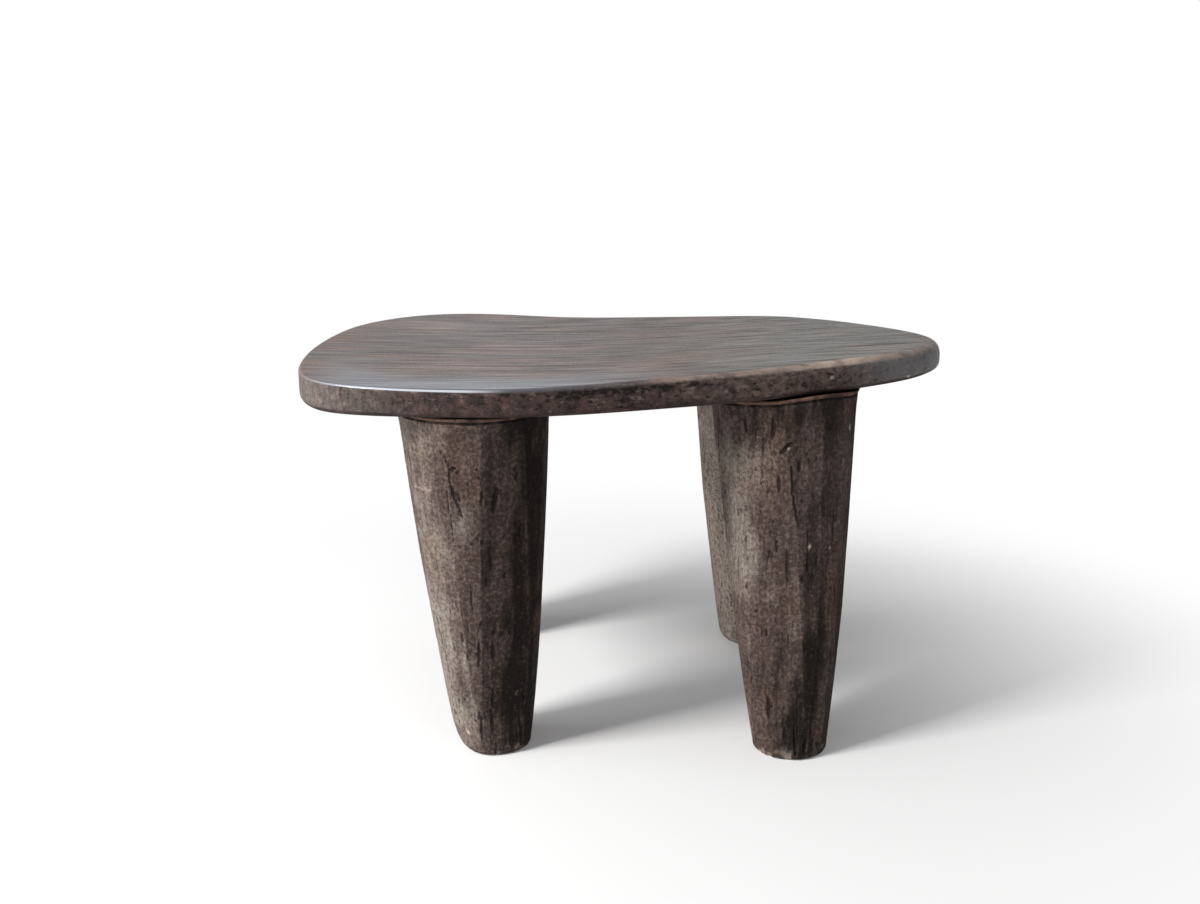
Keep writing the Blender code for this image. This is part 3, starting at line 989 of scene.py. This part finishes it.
class SeatBlank:
    """The seat's skin: a rounded band round its edge, a fine top and a coarser underside with mortises."""

    def __init__(self, legs):
        self.legs = legs
        self.solid = solid_of("seat")
        self.outline = self.edge_line()
        steps = np.roll(self.outline, -1, 0) - np.roll(self.outline, 1, 0)
        steps /= np.linalg.norm(steps, axis=1)[:, None]
        self.outward = np.column_stack([steps[:, 1], -steps[:, 0]])
        self.top_fit = self.fit_top()
        self.band = self.edge_band()

    def hit(self, start, way):
        """Where a ray meets the solid."""
        return np.array(self.solid.ray_cast(Vector(start), Vector(way))[0])

    def edge_line(self):
        """The seat's outline, evenly stepped and smooth, counter-clockwise."""
        ways = circle(OUTLINE_RAYS)[1]
        ring = np.array([self.hit((0.0, 0.0, SIDE_HEIGHT), (*way, 0.0))[:2] for way in ways])
        closed = np.vstack([ring, ring[:1]])
        total = distances(closed)
        even = np.linspace(0.0, total[-1], SEAT_COLUMNS, endpoint=False)
        return smooth_round(points_at(closed, total, even), OUTLINE_WAVES)

    def heights_at(self, spots, way):
        """Heights at which the solid's top or underside lies over or under points."""
        return np.array([self.hit((x, y, SIDE_HEIGHT), (0.0, 0.0, way))[2] for x, y in spots])

    @staticmethod
    def terms(spots):
        """Powers of x and y up to the sixth and the fourth, for the top's smooth fit."""
        x, y = (spots[:, :2] / TOP_SPAN).T
        return np.column_stack([x ** i * y ** j for i in range(7) for j in range(5) if i + j <= 6])

    def fit_top(self):
        """The top's height as a smooth fit to the solid's dished, climbing top."""
        inner = self.outline - self.outward * EDGE_REACH
        spots = np.vstack([inner[::TOP_FIT_STEP] * share for share in np.linspace(*TOP_FIT_SHARES)])
        return np.linalg.lstsq(self.terms(spots), self.heights_at(spots, 1.0), rcond=None)[0]

    def top(self, spots):
        """Height of the smooth top over points."""
        return self.terms(spots) @ self.top_fit

    def edge_band(self):
        """Points from the underside round the edge to the top, for each column of the outline."""
        tilts = np.linspace(-np.pi / 2.0, np.pi / 2.0, PROFILE_RAYS)
        cores = self.outline - self.outward * EDGE_REACH
        levels = (self.heights_at(cores, -1.0) + self.heights_at(cores, 1.0)) / 2.0
        lines = np.empty((SEAT_COLUMNS, PROFILE_RAYS, 3))
        for k, outward in enumerate(self.outward):
            ways = [(*(outward * np.cos(tilt)), np.sin(tilt)) for tilt in tilts]
            lines[k] = [self.hit((*cores[k], levels[k]), way) for way in ways]
        self.soften(lines, tilts)
        band = np.empty((SEAT_COLUMNS, SEAT_PROFILE_POINTS, 3))
        for k, line in enumerate(lines):
            steps = np.diff(line, axis=0)
            lengths = np.linalg.norm(steps, axis=1)
            ways = steps / lengths[:, None]
            bends = np.arccos(np.clip((ways[1:] * ways[:-1]).sum(1), -1.0, 1.0))
            total = np.concatenate([[0.0], np.cumsum(lengths + BEND_WEIGHT * np.append(bends, 0.0))])
            band[k] = points_at(line, total, np.linspace(0.0, total[-1], SEAT_PROFILE_POINTS))
        band = smooth_round(band, OUTLINE_WAVES)
        inset = ((self.outline[:, None] - band[:, :, :2]) * self.outward[:, None]).sum(2)
        flat = band.reshape(-1, 3)
        share = rise(inset, TOP_REACH, EDGE_REACH - TOP_REACH).ravel() * (flat[:, 2] > SIDE_HEIGHT)
        flat[:, 2] += share * (self.top(flat) - flat[:, 2])
        return flat.reshape(band.shape).transpose(1, 0, 2)

    def soften(self, lines, tilts):
        """Smooths the edge's lines a little all round, and into a roll along the front of the narrow end."""
        roll = rise(self.outline[:, 0], *ROLL_ALONG) * rise(-self.outline[:, 1], *ROLL_ACROSS)
        roll = roll[:, None] * rise(tilts, *ROLL_LOWER) * rise(-tilts, *ROLL_UPPER)
        roll = roll[:, 1:-1, None]
        for turn in range(ROLL_TURNS):
            share = 1.0 if turn < ARRIS_TURNS else roll
            between = (lines[:, :-2] + 2.0 * lines[:, 1:-1] + lines[:, 2:]) / 4.0
            lines[:, 1:-1] += share * (between - lines[:, 1:-1])

    @staticmethod
    def inner_grid(ring, step):
        """Points of a level grid that lie well inside a ring round the origin."""
        low, high = ring.min(0), ring.max(0)
        x, y = np.meshgrid(np.arange(low[0], high[0], step[0]), np.arange(low[1], high[1], step[1]))
        x[1::2] += step[0] / 2.0
        spots = np.column_stack([x.ravel(), y.ravel()])
        return spots[np.linalg.norm(spots, axis=1) < ring_reach(ring, spots) - min(step)]

    @staticmethod
    def filled(spots, loops):
        """Triangles inside the first loop of points, as numbers of the points given."""
        edges = [edge for loop in loops for edge in zip(loop, loop[1:] + loop[:1])]
        points = [Vector(spot) for spot in spots]
        _, _, faces, origin, _, _ = delaunay_2d_cdt(points, edges, [loops[0]], 1, MERGE_DISTANCE)
        return np.array([[origin[corner][0] for corner in face] for face in faces if len(face) == 3])

    def piece(self):
        """The blank seat as an object, with the edge's first and last points for tool strokes."""
        self.spots = [self.band.reshape(-1, 3)]
        self.faces = ring_faces(SEAT_PROFILE_POINTS, SEAT_COLUMNS)
        self.lay_top()
        top_end = self.total()
        self.lay_underside()
        piece = blank_piece("seat_carved", np.vstack(self.spots), self.faces)
        up = mesh_points(piece.data, "normal")[:, 2]
        self.dress(piece.data, up, top_end)
        side = [m for m in range(SEAT_PROFILE_POINTS) if abs(up[m * SEAT_COLUMNS]) < SIDE_UP]
        return piece, side[0] * SEAT_COLUMNS, (side[-1] + 1) * SEAT_COLUMNS - 1

    def total(self):
        """How many points are laid so far."""
        return sum(len(rows) for rows in self.spots)

    def lay_top(self):
        """A fine grid inside the edge band's last ring."""
        ring = self.band[-1, :, :2]
        grid = self.inner_grid(ring, TOP_GRID)
        rows = self.filled(np.vstack([ring, grid]), [list(range(SEAT_COLUMNS))])
        self.faces += (rows + self.total() - SEAT_COLUMNS).tolist()
        self.spots.append(np.column_stack([grid, self.top(grid)]))

    def lay_underside(self):
        """A coarser grid inside the edge band's first ring, with the mortises let into it."""
        ring = self.band[0, :, :2]
        grid = self.inner_grid(ring, UNDERSIDE_GRID)
        ways = circle(MORTISE_POINTS)[1]
        holes, loops = [], [list(range(SEAT_COLUMNS))]
        for leg in self.legs:
            radius = leg.tenon_radius + JOINT_GAP
            grid = grid[np.linalg.norm(grid - leg.tenon_middle, axis=1) > radius + MORTISE_CLEAR]
            first = SEAT_COLUMNS + MORTISE_POINTS * len(holes)
            holes.append(leg.tenon_middle + radius * ways)
            loops.append(list(range(first, first + MORTISE_POINTS)))
        flat = np.vstack([ring, *holes, grid])
        rows = self.filled(flat, loops)
        for leg in self.legs:
            away = np.linalg.norm(flat[rows].mean(1) - leg.tenon_middle, axis=1)
            rows = rows[away > leg.tenon_radius + JOINT_GAP - TINY]
        total = self.total()
        self.faces += np.where(rows < SEAT_COLUMNS, rows, rows - SEAT_COLUMNS + total).tolist()
        inner = flat[SEAT_COLUMNS:]
        self.spots.append(np.column_stack([inner, self.underside_heights(inner)]))
        for number, (leg, hole) in enumerate(zip(self.legs, holes)):
            self.lay_mortise(leg, hole, total + MORTISE_POINTS * number)

    def lay_mortise(self, leg, hole, first):
        """A blind round hole for a leg's tenon, up from its ring of points in the underside."""
        end = self.total()
        height = leg.tenon_end + JOINT_GAP
        ring = np.column_stack([hole, np.full(MORTISE_POINTS, height)])
        self.spots += [ring, [[*leg.tenon_middle, height]]]
        for k in range(MORTISE_POINTS):
            beside = (k + 1) % MORTISE_POINTS
            self.faces.append([first + k, first + beside, end + beside, end + k])
        self.faces += fan_faces(end, MORTISE_POINTS, end + MORTISE_POINTS)

    def underside_heights(self, spots):
        """Heights of the underside at points, read from beside a mortise where one is over the point."""
        heights = []
        for spot in spots:
            for leg in self.legs:
                away = spot - leg.tenon_middle
                distance = np.linalg.norm(away)
                if distance < leg.tenon_radius + MORTISE_EDGE:
                    spot = leg.tenon_middle + away / distance * (leg.tenon_radius + MORTISE_EDGE)
            heights.append(self.hit((*spot, UNDER_HEIGHT), (0.0, 0.0, 1.0))[2])
        return np.array(heights)

    def dress(self, mesh, up, top_end):
        """Keeps each point's carving, rawness, depth below the top and distance in from the edge."""
        spots = mesh_points(mesh)
        numbers = np.arange(len(spots))
        band = numbers < SEAT_PROFILE_POINTS * SEAT_COLUMNS
        inset = ring_reach(self.outline, spots) - np.linalg.norm(spots[:, :2], axis=1)
        keep(mesh, "carve", np.where(band, rise(up, *CARVED_UP), numbers < top_end))
        keep(mesh, "raw", 1.0 - rise(up, *POLISHED_UP))
        keep(mesh, "below", self.top(spots) - spots[:, 2])
        keep(mesh, "inset", np.maximum(inset, 0.0))

    def marks(self):
        """Mark points of the seat: grain creases and a knot on its top, and flecks on its side."""
        marks = []
        for kind, *corners in TOP_MARKS:
            for place, share in along(corners, TOP_MARK_STEP):
                flat = place[None] / 1000.0
                marks.append(((*flat[0], self.top(flat)[0]), mark_size(kind, TOP_MARK_ENDS, share)))
        for kind, *corners in SIDE_MARKS:
            for place, share in along(corners, SIDE_MARK_STEP):
                near = np.linalg.norm(self.band - place / 1000.0, axis=2)
                spot = self.band[np.unravel_index(np.argmin(near), near.shape)]
                marks.append((spot, mark_size(kind, 1.0, share, SIDE_MARK_THIN)))
        return marks


def grain_group(name):
    """Shader group: streaks and fine lines of wood grain along a stretched place."""
    inputs = {"Place": "Vector", "Streak Scale": "Float", "Line Scale": "Float", "Waver": "Float"}
    outputs = {"Streaks": "Float", "Lines": "Float"}
    tree, bench, given, result = new_group(name, "ShaderNodeTree", inputs, outputs)
    waver = bench.vector("SCALE", bench.wander(given["Place"], 22.0), scale=given["Waver"])
    place = bench.vector("ADD", given["Place"], waver)
    bench.feed(result["Streaks"], bench.noise(place, given["Streak Scale"], 4.0, 0.6))
    bench.feed(result["Lines"], bench.noise(place, given["Line Scale"], 3.0, 0.6))
    return tree


def weather_group(name):
    """Shader group: speckle, dirt in the hollows, rubbed edges and blotches, from the carving's masks."""
    inputs = {"Place": "Vector", "Hollow": "Float", "Proud": "Float", "Speckle Scale": "Float"}
    outputs = dict.fromkeys(("Speckle", "Dirt", "Rubbed", "Blotch"), "Float")
    tree, bench, given, result = new_group(name, "ShaderNodeTree", inputs, outputs)
    place = given["Place"]
    speckle = bench.noise(place, given["Speckle Scale"], 5.0, 0.85)
    bench.feed(result["Speckle"], bench.ramp(speckle, 0.34, 0.66))
    sunk = bench.ramp(given["Proud"], -0.25, -1.0)
    bench.feed(result["Dirt"], bench.ramp(bench.most(given["Hollow"], sunk), 0.12, 0.62))
    broken = bench.ramp(bench.noise(place, 90.0, 3.0), 0.35, 0.65, 0.25, 1.0)
    bench.feed(result["Rubbed"], bench.times(bench.ramp(given["Proud"], 0.10, 0.9), broken))
    bench.feed(result["Blotch"], bench.noise(place, 26.0, 4.0, 0.6))
    return tree


class Finish:
    """A material with its Principled shader, and the nodes that every wood finish begins with."""

    def __init__(self, name, stretch, grain, speckle_scale):
        self.material = bpy.data.materials.new(name)
        self.material.use_nodes = True
        self.shader = self.material.node_tree.nodes["Principled BSDF"]
        self.bench = bench = NodeBench(self.material.node_tree)
        self.place = bench.node("ShaderNodeTexCoord").outputs["Object"]
        self.normal = bench.node("ShaderNodeNewGeometry").outputs["Normal"]
        long_place = bench.stretched(self.place, stretch)
        self.grain = self.group("Wood grain", grain_group, {"Place": long_place, **grain})
        self.weather = self.group("Weathering", weather_group, {
            "Place": self.place, "Hollow": self.kept("hollow"), "Proud": self.kept("proud"),
            "Speckle Scale": speckle_scale})

    def group(self, name, make, feeds):
        """The outputs of a shared group placed in this material."""
        made = self.bench.node("ShaderNodeGroup", node_tree=shared(name, make))
        for key, value in feeds.items():
            self.bench.feed(made.inputs[key], value)
        return made.outputs

    def kept(self, name):
        """A mask that the carving left on the piece."""
        return self.bench.node("ShaderNodeAttribute", attribute_name=name).outputs["Fac"]

    def fleck(self, strength):
        """The mask of pale flecks and fresh chips."""
        return self.bench.math("MULTIPLY", self.kept("fleck"), strength, clamp=True)

    def set(self, **inputs):
        """Feeds the shader's inputs, named with underscores for spaces."""
        for key, value in inputs.items():
            self.bench.feed(self.shader.inputs[key.replace("_", " ")], value)

    def bump(self, height, strength, distance):
        """Fine relief."""
        feeds = {"Height": height, "Strength": strength, "Distance": distance}
        self.set(Normal=self.bench.node("ShaderNodeBump", feeds).outputs[0])


class SeatFinish(Finish):
    """Dark stained wood, polished on top with fine lengthwise grain, raw and pitted round the edge."""

    def __init__(self, look):
        grain = {"Streak Scale": 190.0, "Line Scale": 300.0, "Waver": 0.004}
        super().__init__("Polished seat wood", (0.042, 1.0, 1.0), grain, 480.0)
        bench = self.bench
        self.look = look
        self.x, self.y, _ = bench.split(self.place)
        self.up = bench.split(self.normal)[2]
        self.raw = self.kept("raw")
        self.patch_place = bench.stretched(self.place, (0.45, 1.0, 1.0))
        self.streaks = bench.ramp(self.grain["Streaks"], 0.34, 0.66, 0.32, 0.90)
        self.tip = bench.ramp(self.x, 0.17, 0.25)
        self.under = bench.ramp(self.up, -0.25, -0.60)
        self.front = bench.times(
            bench.ramp(self.kept("inset"), 0.090, 0.020), bench.ramp(self.y, -0.04, -0.12),
            bench.span(self.x, 0.06, -0.11, -0.285, -0.23))
        arris = bench.times(bench.ramp(self.up, 0.965, 0.88), bench.ramp(self.raw, 0.75, 0.35))
        # Painted highlight: where the arris glint is painted; the same mask gives the arris its clear coat
        self.arris_painted_highlight_and_coat = bench.times(
            arris, bench.ramp(self.x, -0.09, -0.135), bench.ramp(self.x, -0.28, -0.20, 0.05, 1.0),
            bench.ramp(self.y, 0.02, -0.08))
        self.set(Base_Color=self.edges(bench.mix(self.raw, self.top(), self.side())))
        self.gloss()

    def top(self):
        """Polished top, plain along the front of the broad end, with a painted bluish reflection there."""
        bench, look, lines, speckle = self.bench, self.look, self.grain["Lines"], self.weather["Speckle"]
        narrow = bench.ramp(self.x, 0.0, 0.16)
        warmth = bench.times(
            bench.ramp(bench.noise(self.patch_place, 22.0, 3.0), 0.44, 0.60),
            bench.ramp(self.grain["Streaks"], 0.36, 0.60, 0.45, 1.0),
            bench.ramp(narrow, 0.0, 1.0, 0.85, 0.22))
        return bench.coats(
            bench.mix(self.streaks, look.dark, bench.mix(narrow, look.grey, look.grey_tip)),
            (warmth, look.warm),
            (bench.ramp(lines, 0.44, 0.34, 0.0, 0.32), look.grey_tip),
            (bench.ramp(lines, 0.53, 0.64, 0.0, 0.66), look.dark),
            (bench.ramp(speckle, 0.60, 1.0, 0.0, 0.40), look.grey_tip),
            (bench.ramp(speckle, 0.45, 0.0, 0.0, 0.60), look.dark),
            # Painted reflection: bluish sheen on the smooth front band
            (bench.times(self.front, 0.70), look.slide),
        )

    def side(self):
        """Raw edge, paler at the broad end and grey at the narrow tip, with faint upright tool marks."""
        bench, look, x, tip, below = self.bench, self.look, self.x, self.tip, self.kept("below")
        combed = bench.noise(bench.stretched(self.place, (1.0, 1.0, 0.30)), 360.0, 4.0, 0.65)
        combed = bench.ramp(combed, 0.34, 0.66)
        mottle = bench.ramp(bench.noise(self.place, 95.0, 5.0, 0.75), 0.34, 0.66, 0.05, 1.0)
        mottle = bench.plus(bench.times(mottle, 0.8), bench.times(combed, 0.2))
        wood = bench.mix(bench.ramp(x, 0.0, 0.10, 0.0, 0.28), look.edge, look.rubbed)
        pale = bench.times(bench.ramp(x, -0.14, -0.28), bench.ramp(combed, 0.0, 1.0, 0.40, 0.80))
        grains = bench.ramp(self.weather["Speckle"], 0.45, 0.0)
        shade = bench.times(
            bench.ramp(below, 0.0015, 0.0035), bench.ramp(below, 0.013, 0.006, 0.0, 0.85),
            bench.span(x, -0.12, -0.04, 0.11, 0.03))
        level = bench.stretched(self.place, (0.55, 0.55, 1.0))
        pocks = bench.plus(bench.times(shade, 0.17), bench.noise(level, 260.0, 4.0, 0.65))
        pocks = bench.times(
            bench.ramp(pocks, 0.52, 0.66), bench.ramp(x, -0.26, -0.08, 0.30, 0.95),
            bench.ramp(tip, 0.0, 1.0, 1.0, 0.3))
        flakes = bench.ramp(bench.noise(level, 190.0, 4.0, 0.7), 0.54, 0.70, 0.0, 0.40)
        return bench.coats(
            bench.mix(mottle, look.dark, wood),
            (pale, look.pale),
            (bench.times(tip, 0.75), look.tip),
            (bench.times(grains, bench.ramp(tip, 0.0, 1.0, 0.55, 0.20)), look.dark),
            (bench.times(self.weather["Dirt"], bench.ramp(x, -0.28, -0.08, 0.25, 0.60)), DIRT_AND_PAINTED_SHADE),
            (pocks, DIRT_AND_PAINTED_SHADE),
            (flakes, look.rubbed),
            (bench.times(bench.span(self.up, -0.20, -0.50, -0.95, -0.70), 0.60), look.lower),
            (self.under, bench.mix(bench.times(self.streaks, mottle), look.dark, look.edge)),
        )

    def edges(self, colour):
        """The arris: a painted pale bluish highlight along the broad end's front, rubbed brown along the
        narrow end's roll.
        """
        bench, look, x, raw = self.bench, self.look, self.x, self.raw
        broken = bench.ramp(bench.noise(self.patch_place, 85.0, 5.0, 0.75), 0.36, 0.62, 0.22, 1.0)
        roll = bench.times(bench.ramp(self.up, 0.9992, 0.955), bench.ramp(raw, 0.85, 0.20), broken)
        rub = bench.times(roll, bench.span(x, -0.01, 0.06, 0.295, 0.25), bench.ramp(self.y, 0.02, -0.06))
        hollow = bench.ramp(self.kept("hollow"), 0.2, 0.6)
        return bench.coats(
            colour,
            # Painted highlight along the broad end's front arris
            (bench.times(self.arris_painted_highlight_and_coat, 0.90), look.arris),
            (bench.times(rub, 0.85), look.rubbed),
            (bench.times(rub, bench.span(x, 0.13, 0.175, 0.225, 0.19), 0.65), FRESH_WOOD_AND_PAINTED_LIGHT),
            (bench.times(hollow, bench.ramp(raw, 0.0, 1.0, 0.9, 0.4)), DIRT_AND_PAINTED_SHADE),
            (self.fleck(0.9), FRESH_WOOD_AND_PAINTED_LIGHT),
        )

    def gloss(self):
        """Satin on top, smoother along the front, and matt round the edge."""
        bench, front = self.bench, self.front
        lines = bench.ramp(self.grain["Lines"], 0.36, 0.64)
        polish = bench.plus(bench.times(lines, 0.14), bench.times(front, -0.10), 0.41)
        rawness = bench.most(bench.ramp(self.tip, 0.0, 1.0, 0.80, 0.48), bench.times(self.under, 0.85))
        self.set(
            Roughness=bench.between(self.raw, polish, rawness),
            Coat_Weight=bench.most(self.arris_painted_highlight_and_coat, bench.times(front, 0.06)),
            Coat_Roughness=0.22, Specular_IOR_Level=0.16)
        self.bump(bench.between(self.raw, bench.times(lines, 0.42), self.weather["Speckle"]), 0.5, 0.0006)


def leg_finish(look):
    """Dark weathered wood, matt and dusty, paler with painted light on the side that faces the lamps and
    darker with painted shade on the far side, and paler where it stands proud.
    """
    grain = {"Streak Scale": 70.0, "Line Scale": 420.0, "Waver": 0.010}
    finish = Finish("Weathered leg wood", (1.0, 1.0, 0.10), grain, 300.0)
    bench, grain, weather, speckle = finish.bench, finish.grain, finish.weather, finish.weather["Speckle"]
    lines = bench.ramp(grain["Lines"], 0.35, 0.65)

    # From stained through plain to dusty wood, by blotches, streaks and stains, and by the side it faces
    # Painted light and shade: paler on the side that faces the lamps, darker on the far side
    facing = bench.vector("DOT_PRODUCT", finish.normal, (-0.90, -0.40, 0.15))
    stain = finish.kept("stain")
    uneven = bench.ramp(grain["Streaks"], 0.35, 0.65, 1.4, 0.6)
    tone = bench.plus(
        bench.ramp(facing, -0.75, 1.0, 0.14, 0.67), bench.math("MULTIPLY_ADD", weather["Blotch"], 0.9, -0.45),
        bench.math("MULTIPLY_ADD", grain["Streaks"], 0.8, -0.40), bench.times(stain, uneven, -1.0))
    warm = bench.ramp(bench.noise(finish.place, 17.0, 3.0), 0.50, 0.68)
    worn = bench.ramp(bench.noise(finish.place, 75.0, 3.0), 0.40, 0.60, 0.25, 1.0)
    colour = bench.coats(
        bench.mix(bench.ramp(tone, -0.12, 0.50), look.stain, look.wood),
        (bench.ramp(tone, 0.50, 0.95), look.dust),
        # Painted light: the palest tone, on bleached spots and the side that faces the lamps, is drawn as
        # fresh wood
        (bench.ramp(tone, 1.05, 1.50, 0.0, 0.9), FRESH_WOOD_AND_PAINTED_LIGHT),
        (bench.times(warm, bench.ramp(grain["Streaks"], 0.38, 0.62), 0.48), look.rust),
        (bench.times(weather["Rubbed"], 0.10), look.dust),
        (bench.times(lines, 0.30), look.stain),
        (bench.times(bench.ramp(speckle, 0.0, 0.75, 1.0, 0.0), 0.62), look.stain),
        (bench.times(bench.ramp(speckle, 0.60, 1.0), bench.ramp(tone, 0.0, 0.6, 0.09, 0.27)), look.dust),
        (bench.times(finish.kept("bead"), worn), look.bead),
        # Dirt in the hollows, and painted shade on the leg's top in the joint under the seat
        (bench.most(bench.times(weather["Dirt"], 0.75), bench.ramp(stain, 0.7, 0.95)), DIRT_AND_PAINTED_SHADE),
        (finish.fleck(0.85), FRESH_WOOD_AND_PAINTED_LIGHT),
    )
    rough = bench.math("MULTIPLY_ADD", speckle, 0.12, 0.78)
    finish.set(Base_Color=colour, Roughness=rough, Specular_IOR_Level=0.1)
    finish.bump(bench.math("MULTIPLY_ADD", lines, -0.5, speckle), 0.6, 0.0008)
    return finish.material


def seen_rays(bench):
    """A mask of the rays that look at the background itself: camera, glossy and transmission rays."""
    path = bench.node("ShaderNodeLightPath").outputs
    return bench.most(path["Is Camera Ray"], path["Is Glossy Ray"], path["Is Transmission Ray"])


def floor_finish(look):
    """A pale studio floor that keeps the shadow and fades to white far from the stool."""
    material = bpy.data.materials.new("Pale studio floor")
    material.use_nodes = True
    nodes = material.node_tree.nodes
    bench = NodeBench(material.node_tree)
    shader = nodes["Principled BSDF"]
    shader.inputs["Base Color"].default_value = (*look.floor, 1.0)
    shader.inputs["Roughness"].default_value = 0.9
    shader.inputs["Specular IOR Level"].default_value = 0.0
    place = bench.node("ShaderNodeTexCoord").outputs["Object"]
    far = bench.ramp(bench.vector("LENGTH", place), 0.16, 0.78, 0.08, 1.0)
    white = bench.node("ShaderNodeEmission", {"Color": WHITE, "Strength": 1.0}).outputs[0]
    share = bench.times(far, seen_rays(bench))
    mixed = bench.node("ShaderNodeMixShader", {0: share, 1: shader.outputs[0], 2: white}).outputs[0]
    bench.feed(nodes["Material Output"].inputs["Surface"], mixed)
    return material


def studio_world(look):
    """White to the eye and in reflections, and a low even light for the rest."""
    world = bpy.data.worlds.new("Studio")
    world.use_nodes = True
    bench = NodeBench(world.node_tree)
    background = world.node_tree.nodes["Background"]
    background.inputs["Color"].default_value = WHITE
    bench.feed(background.inputs["Strength"], bench.ramp(seen_rays(bench), 0.0, 1.0, look.ambient, 1.0))
    bpy.context.scene.world = world


def soft_light(name, power, place, target, size, colour):
    """A square soft light that looks at a target."""
    light = bpy.data.lights.new(name, "AREA")
    light.shape = "SQUARE"
    light.size = size
    light.energy = power
    light.color = colour
    lamp = linked(name, light)
    lamp.location = place
    lamp.rotation_euler = (Vector(target) - Vector(place)).to_track_quat("-Z", "Y").to_euler()


def studio_floor(look):
    """A wide level floor under the stool."""
    mesh = bpy.data.meshes.new("studio_floor")
    corners = [(x * FLOOR_REACH, y * FLOOR_REACH, 0.0) for x, y in ((-1, -1), (1, -1), (1, 1), (-1, 1))]
    mesh.from_pydata(corners, [], [(0, 1, 2, 3)])
    mesh.materials.append(floor_finish(look))
    return linked("studio_floor", mesh)


def photo_camera(look):
    """The camera at the photograph's angle."""
    camera = bpy.data.cameras.new("photo_camera")
    camera.lens = look.lens
    camera.sensor_width = SENSOR_WIDTH
    eye = linked("photo_camera", camera)
    eye.location = CAMERA_PLACE
    eye.rotation_euler = (look.pitch, 0.0, 0.0)
    return eye


class STOOL_OT_legs(bpy.types.Operator):
    """Carves the four legs and gives them their weathered finish"""

    bl_idname = "stool.legs"
    bl_label = "Carve legs"

    def execute(self, context):
        look = context.scene.stool_legs
        finish = leg_finish(look)
        for seed, node in enumerate(LEG_NAMES, 11):
            blank = LegBlank(node)
            piece = blank.piece()
            carve(piece, look, blank.marks(seed), {
                "Material": finish, "First Point": blank.first, "Last Point": blank.last,
                "Stroke Reach": 0.30, "Ripple Stretch": (1.0, 1.0, 0.35), "Pit Stretch": (1.0, 1.0, 0.30),
                "Hole Share": 0.02, "Chip Depth": look.chip_depth, "Seed": seed * 10,
            })
            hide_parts(node)
            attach(piece, "root")
        return {"FINISHED"}


class STOOL_OT_seat(bpy.types.Operator):
    """Carves the plank seat and gives it its polished finish"""

    bl_idname = "stool.seat"
    bl_label = "Carve seat"

    def execute(self, context):
        look = context.scene.stool_seat
        blank = SeatBlank([LegBlank(node) for node in LEG_NAMES])
        piece, first, last = blank.piece()
        carve(piece, look, blank.marks(), {
            "Material": SeatFinish(look).material, "First Point": first, "Last Point": last,
            "Stroke Reach": 0.03, "Ripple Stretch": (0.45, 1.0, 1.0), "Pit Stretch": (0.8, 1.0, 0.55),
            "Hole Share": 0.0, "Chip Depth": 0.0, "Seed": 5,
        })
        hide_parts("seat")
        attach(piece, "root")
        return {"FINISHED"}


class STOOL_OT_stage(bpy.types.Operator):
    """Sets the floor, the light and the camera"""

    bl_idname = "stool.stage"
    bl_label = "Set stage"

    def execute(self, context):
        look = context.scene.stool_stage
        context.scene.view_settings.view_transform = "Standard"
        floor = studio_floor(look)
        studio_world(look)
        for name, power, *rest in LIGHTS:
            soft_light(name, getattr(look, power), *rest)
        context.scene.camera = photo_camera(look)
        return {"FINISHED"}


class STOOL_PT_panel(bpy.types.Panel):
    """Lists the stool's looks and makes its pieces"""

    bl_idname = "STOOL_PT_panel"
    bl_label = "Carved stool"
    bl_space_type = "VIEW_3D"
    bl_region_type = "UI"
    bl_category = "Stool"

    def draw(self, context):
        for name, (_, operator) in LOOKS.items():
            box = self.layout.box()
            group = getattr(context.scene, name)
            for each in group.__annotations__:
                box.prop(group, each)
            box.operator(operator.bl_idname)


LOOKS = {
    "stool_legs": (StoolLegLook, STOOL_OT_legs),
    "stool_seat": (StoolSeatLook, STOOL_OT_seat),
    "stool_stage": (StoolStageLook, STOOL_OT_stage),
}
CLASSES = [each for pair in LOOKS.values() for each in pair] + [STOOL_PT_panel]


def register():
    for each in CLASSES:
        bpy.utils.register_class(each)
    for name, (look, _) in LOOKS.items():
        setattr(bpy.types.Scene, name, PointerProperty(type=look))


def unregister():
    for name in LOOKS:
        delattr(bpy.types.Scene, name)
    for each in reversed(CLASSES):
        bpy.utils.unregister_class(each)


def main():
    register()
    bpy.ops.stool.stage()
    bpy.ops.stool.legs()
    bpy.ops.stool.seat()


if __name__ == "__main__":
    main()
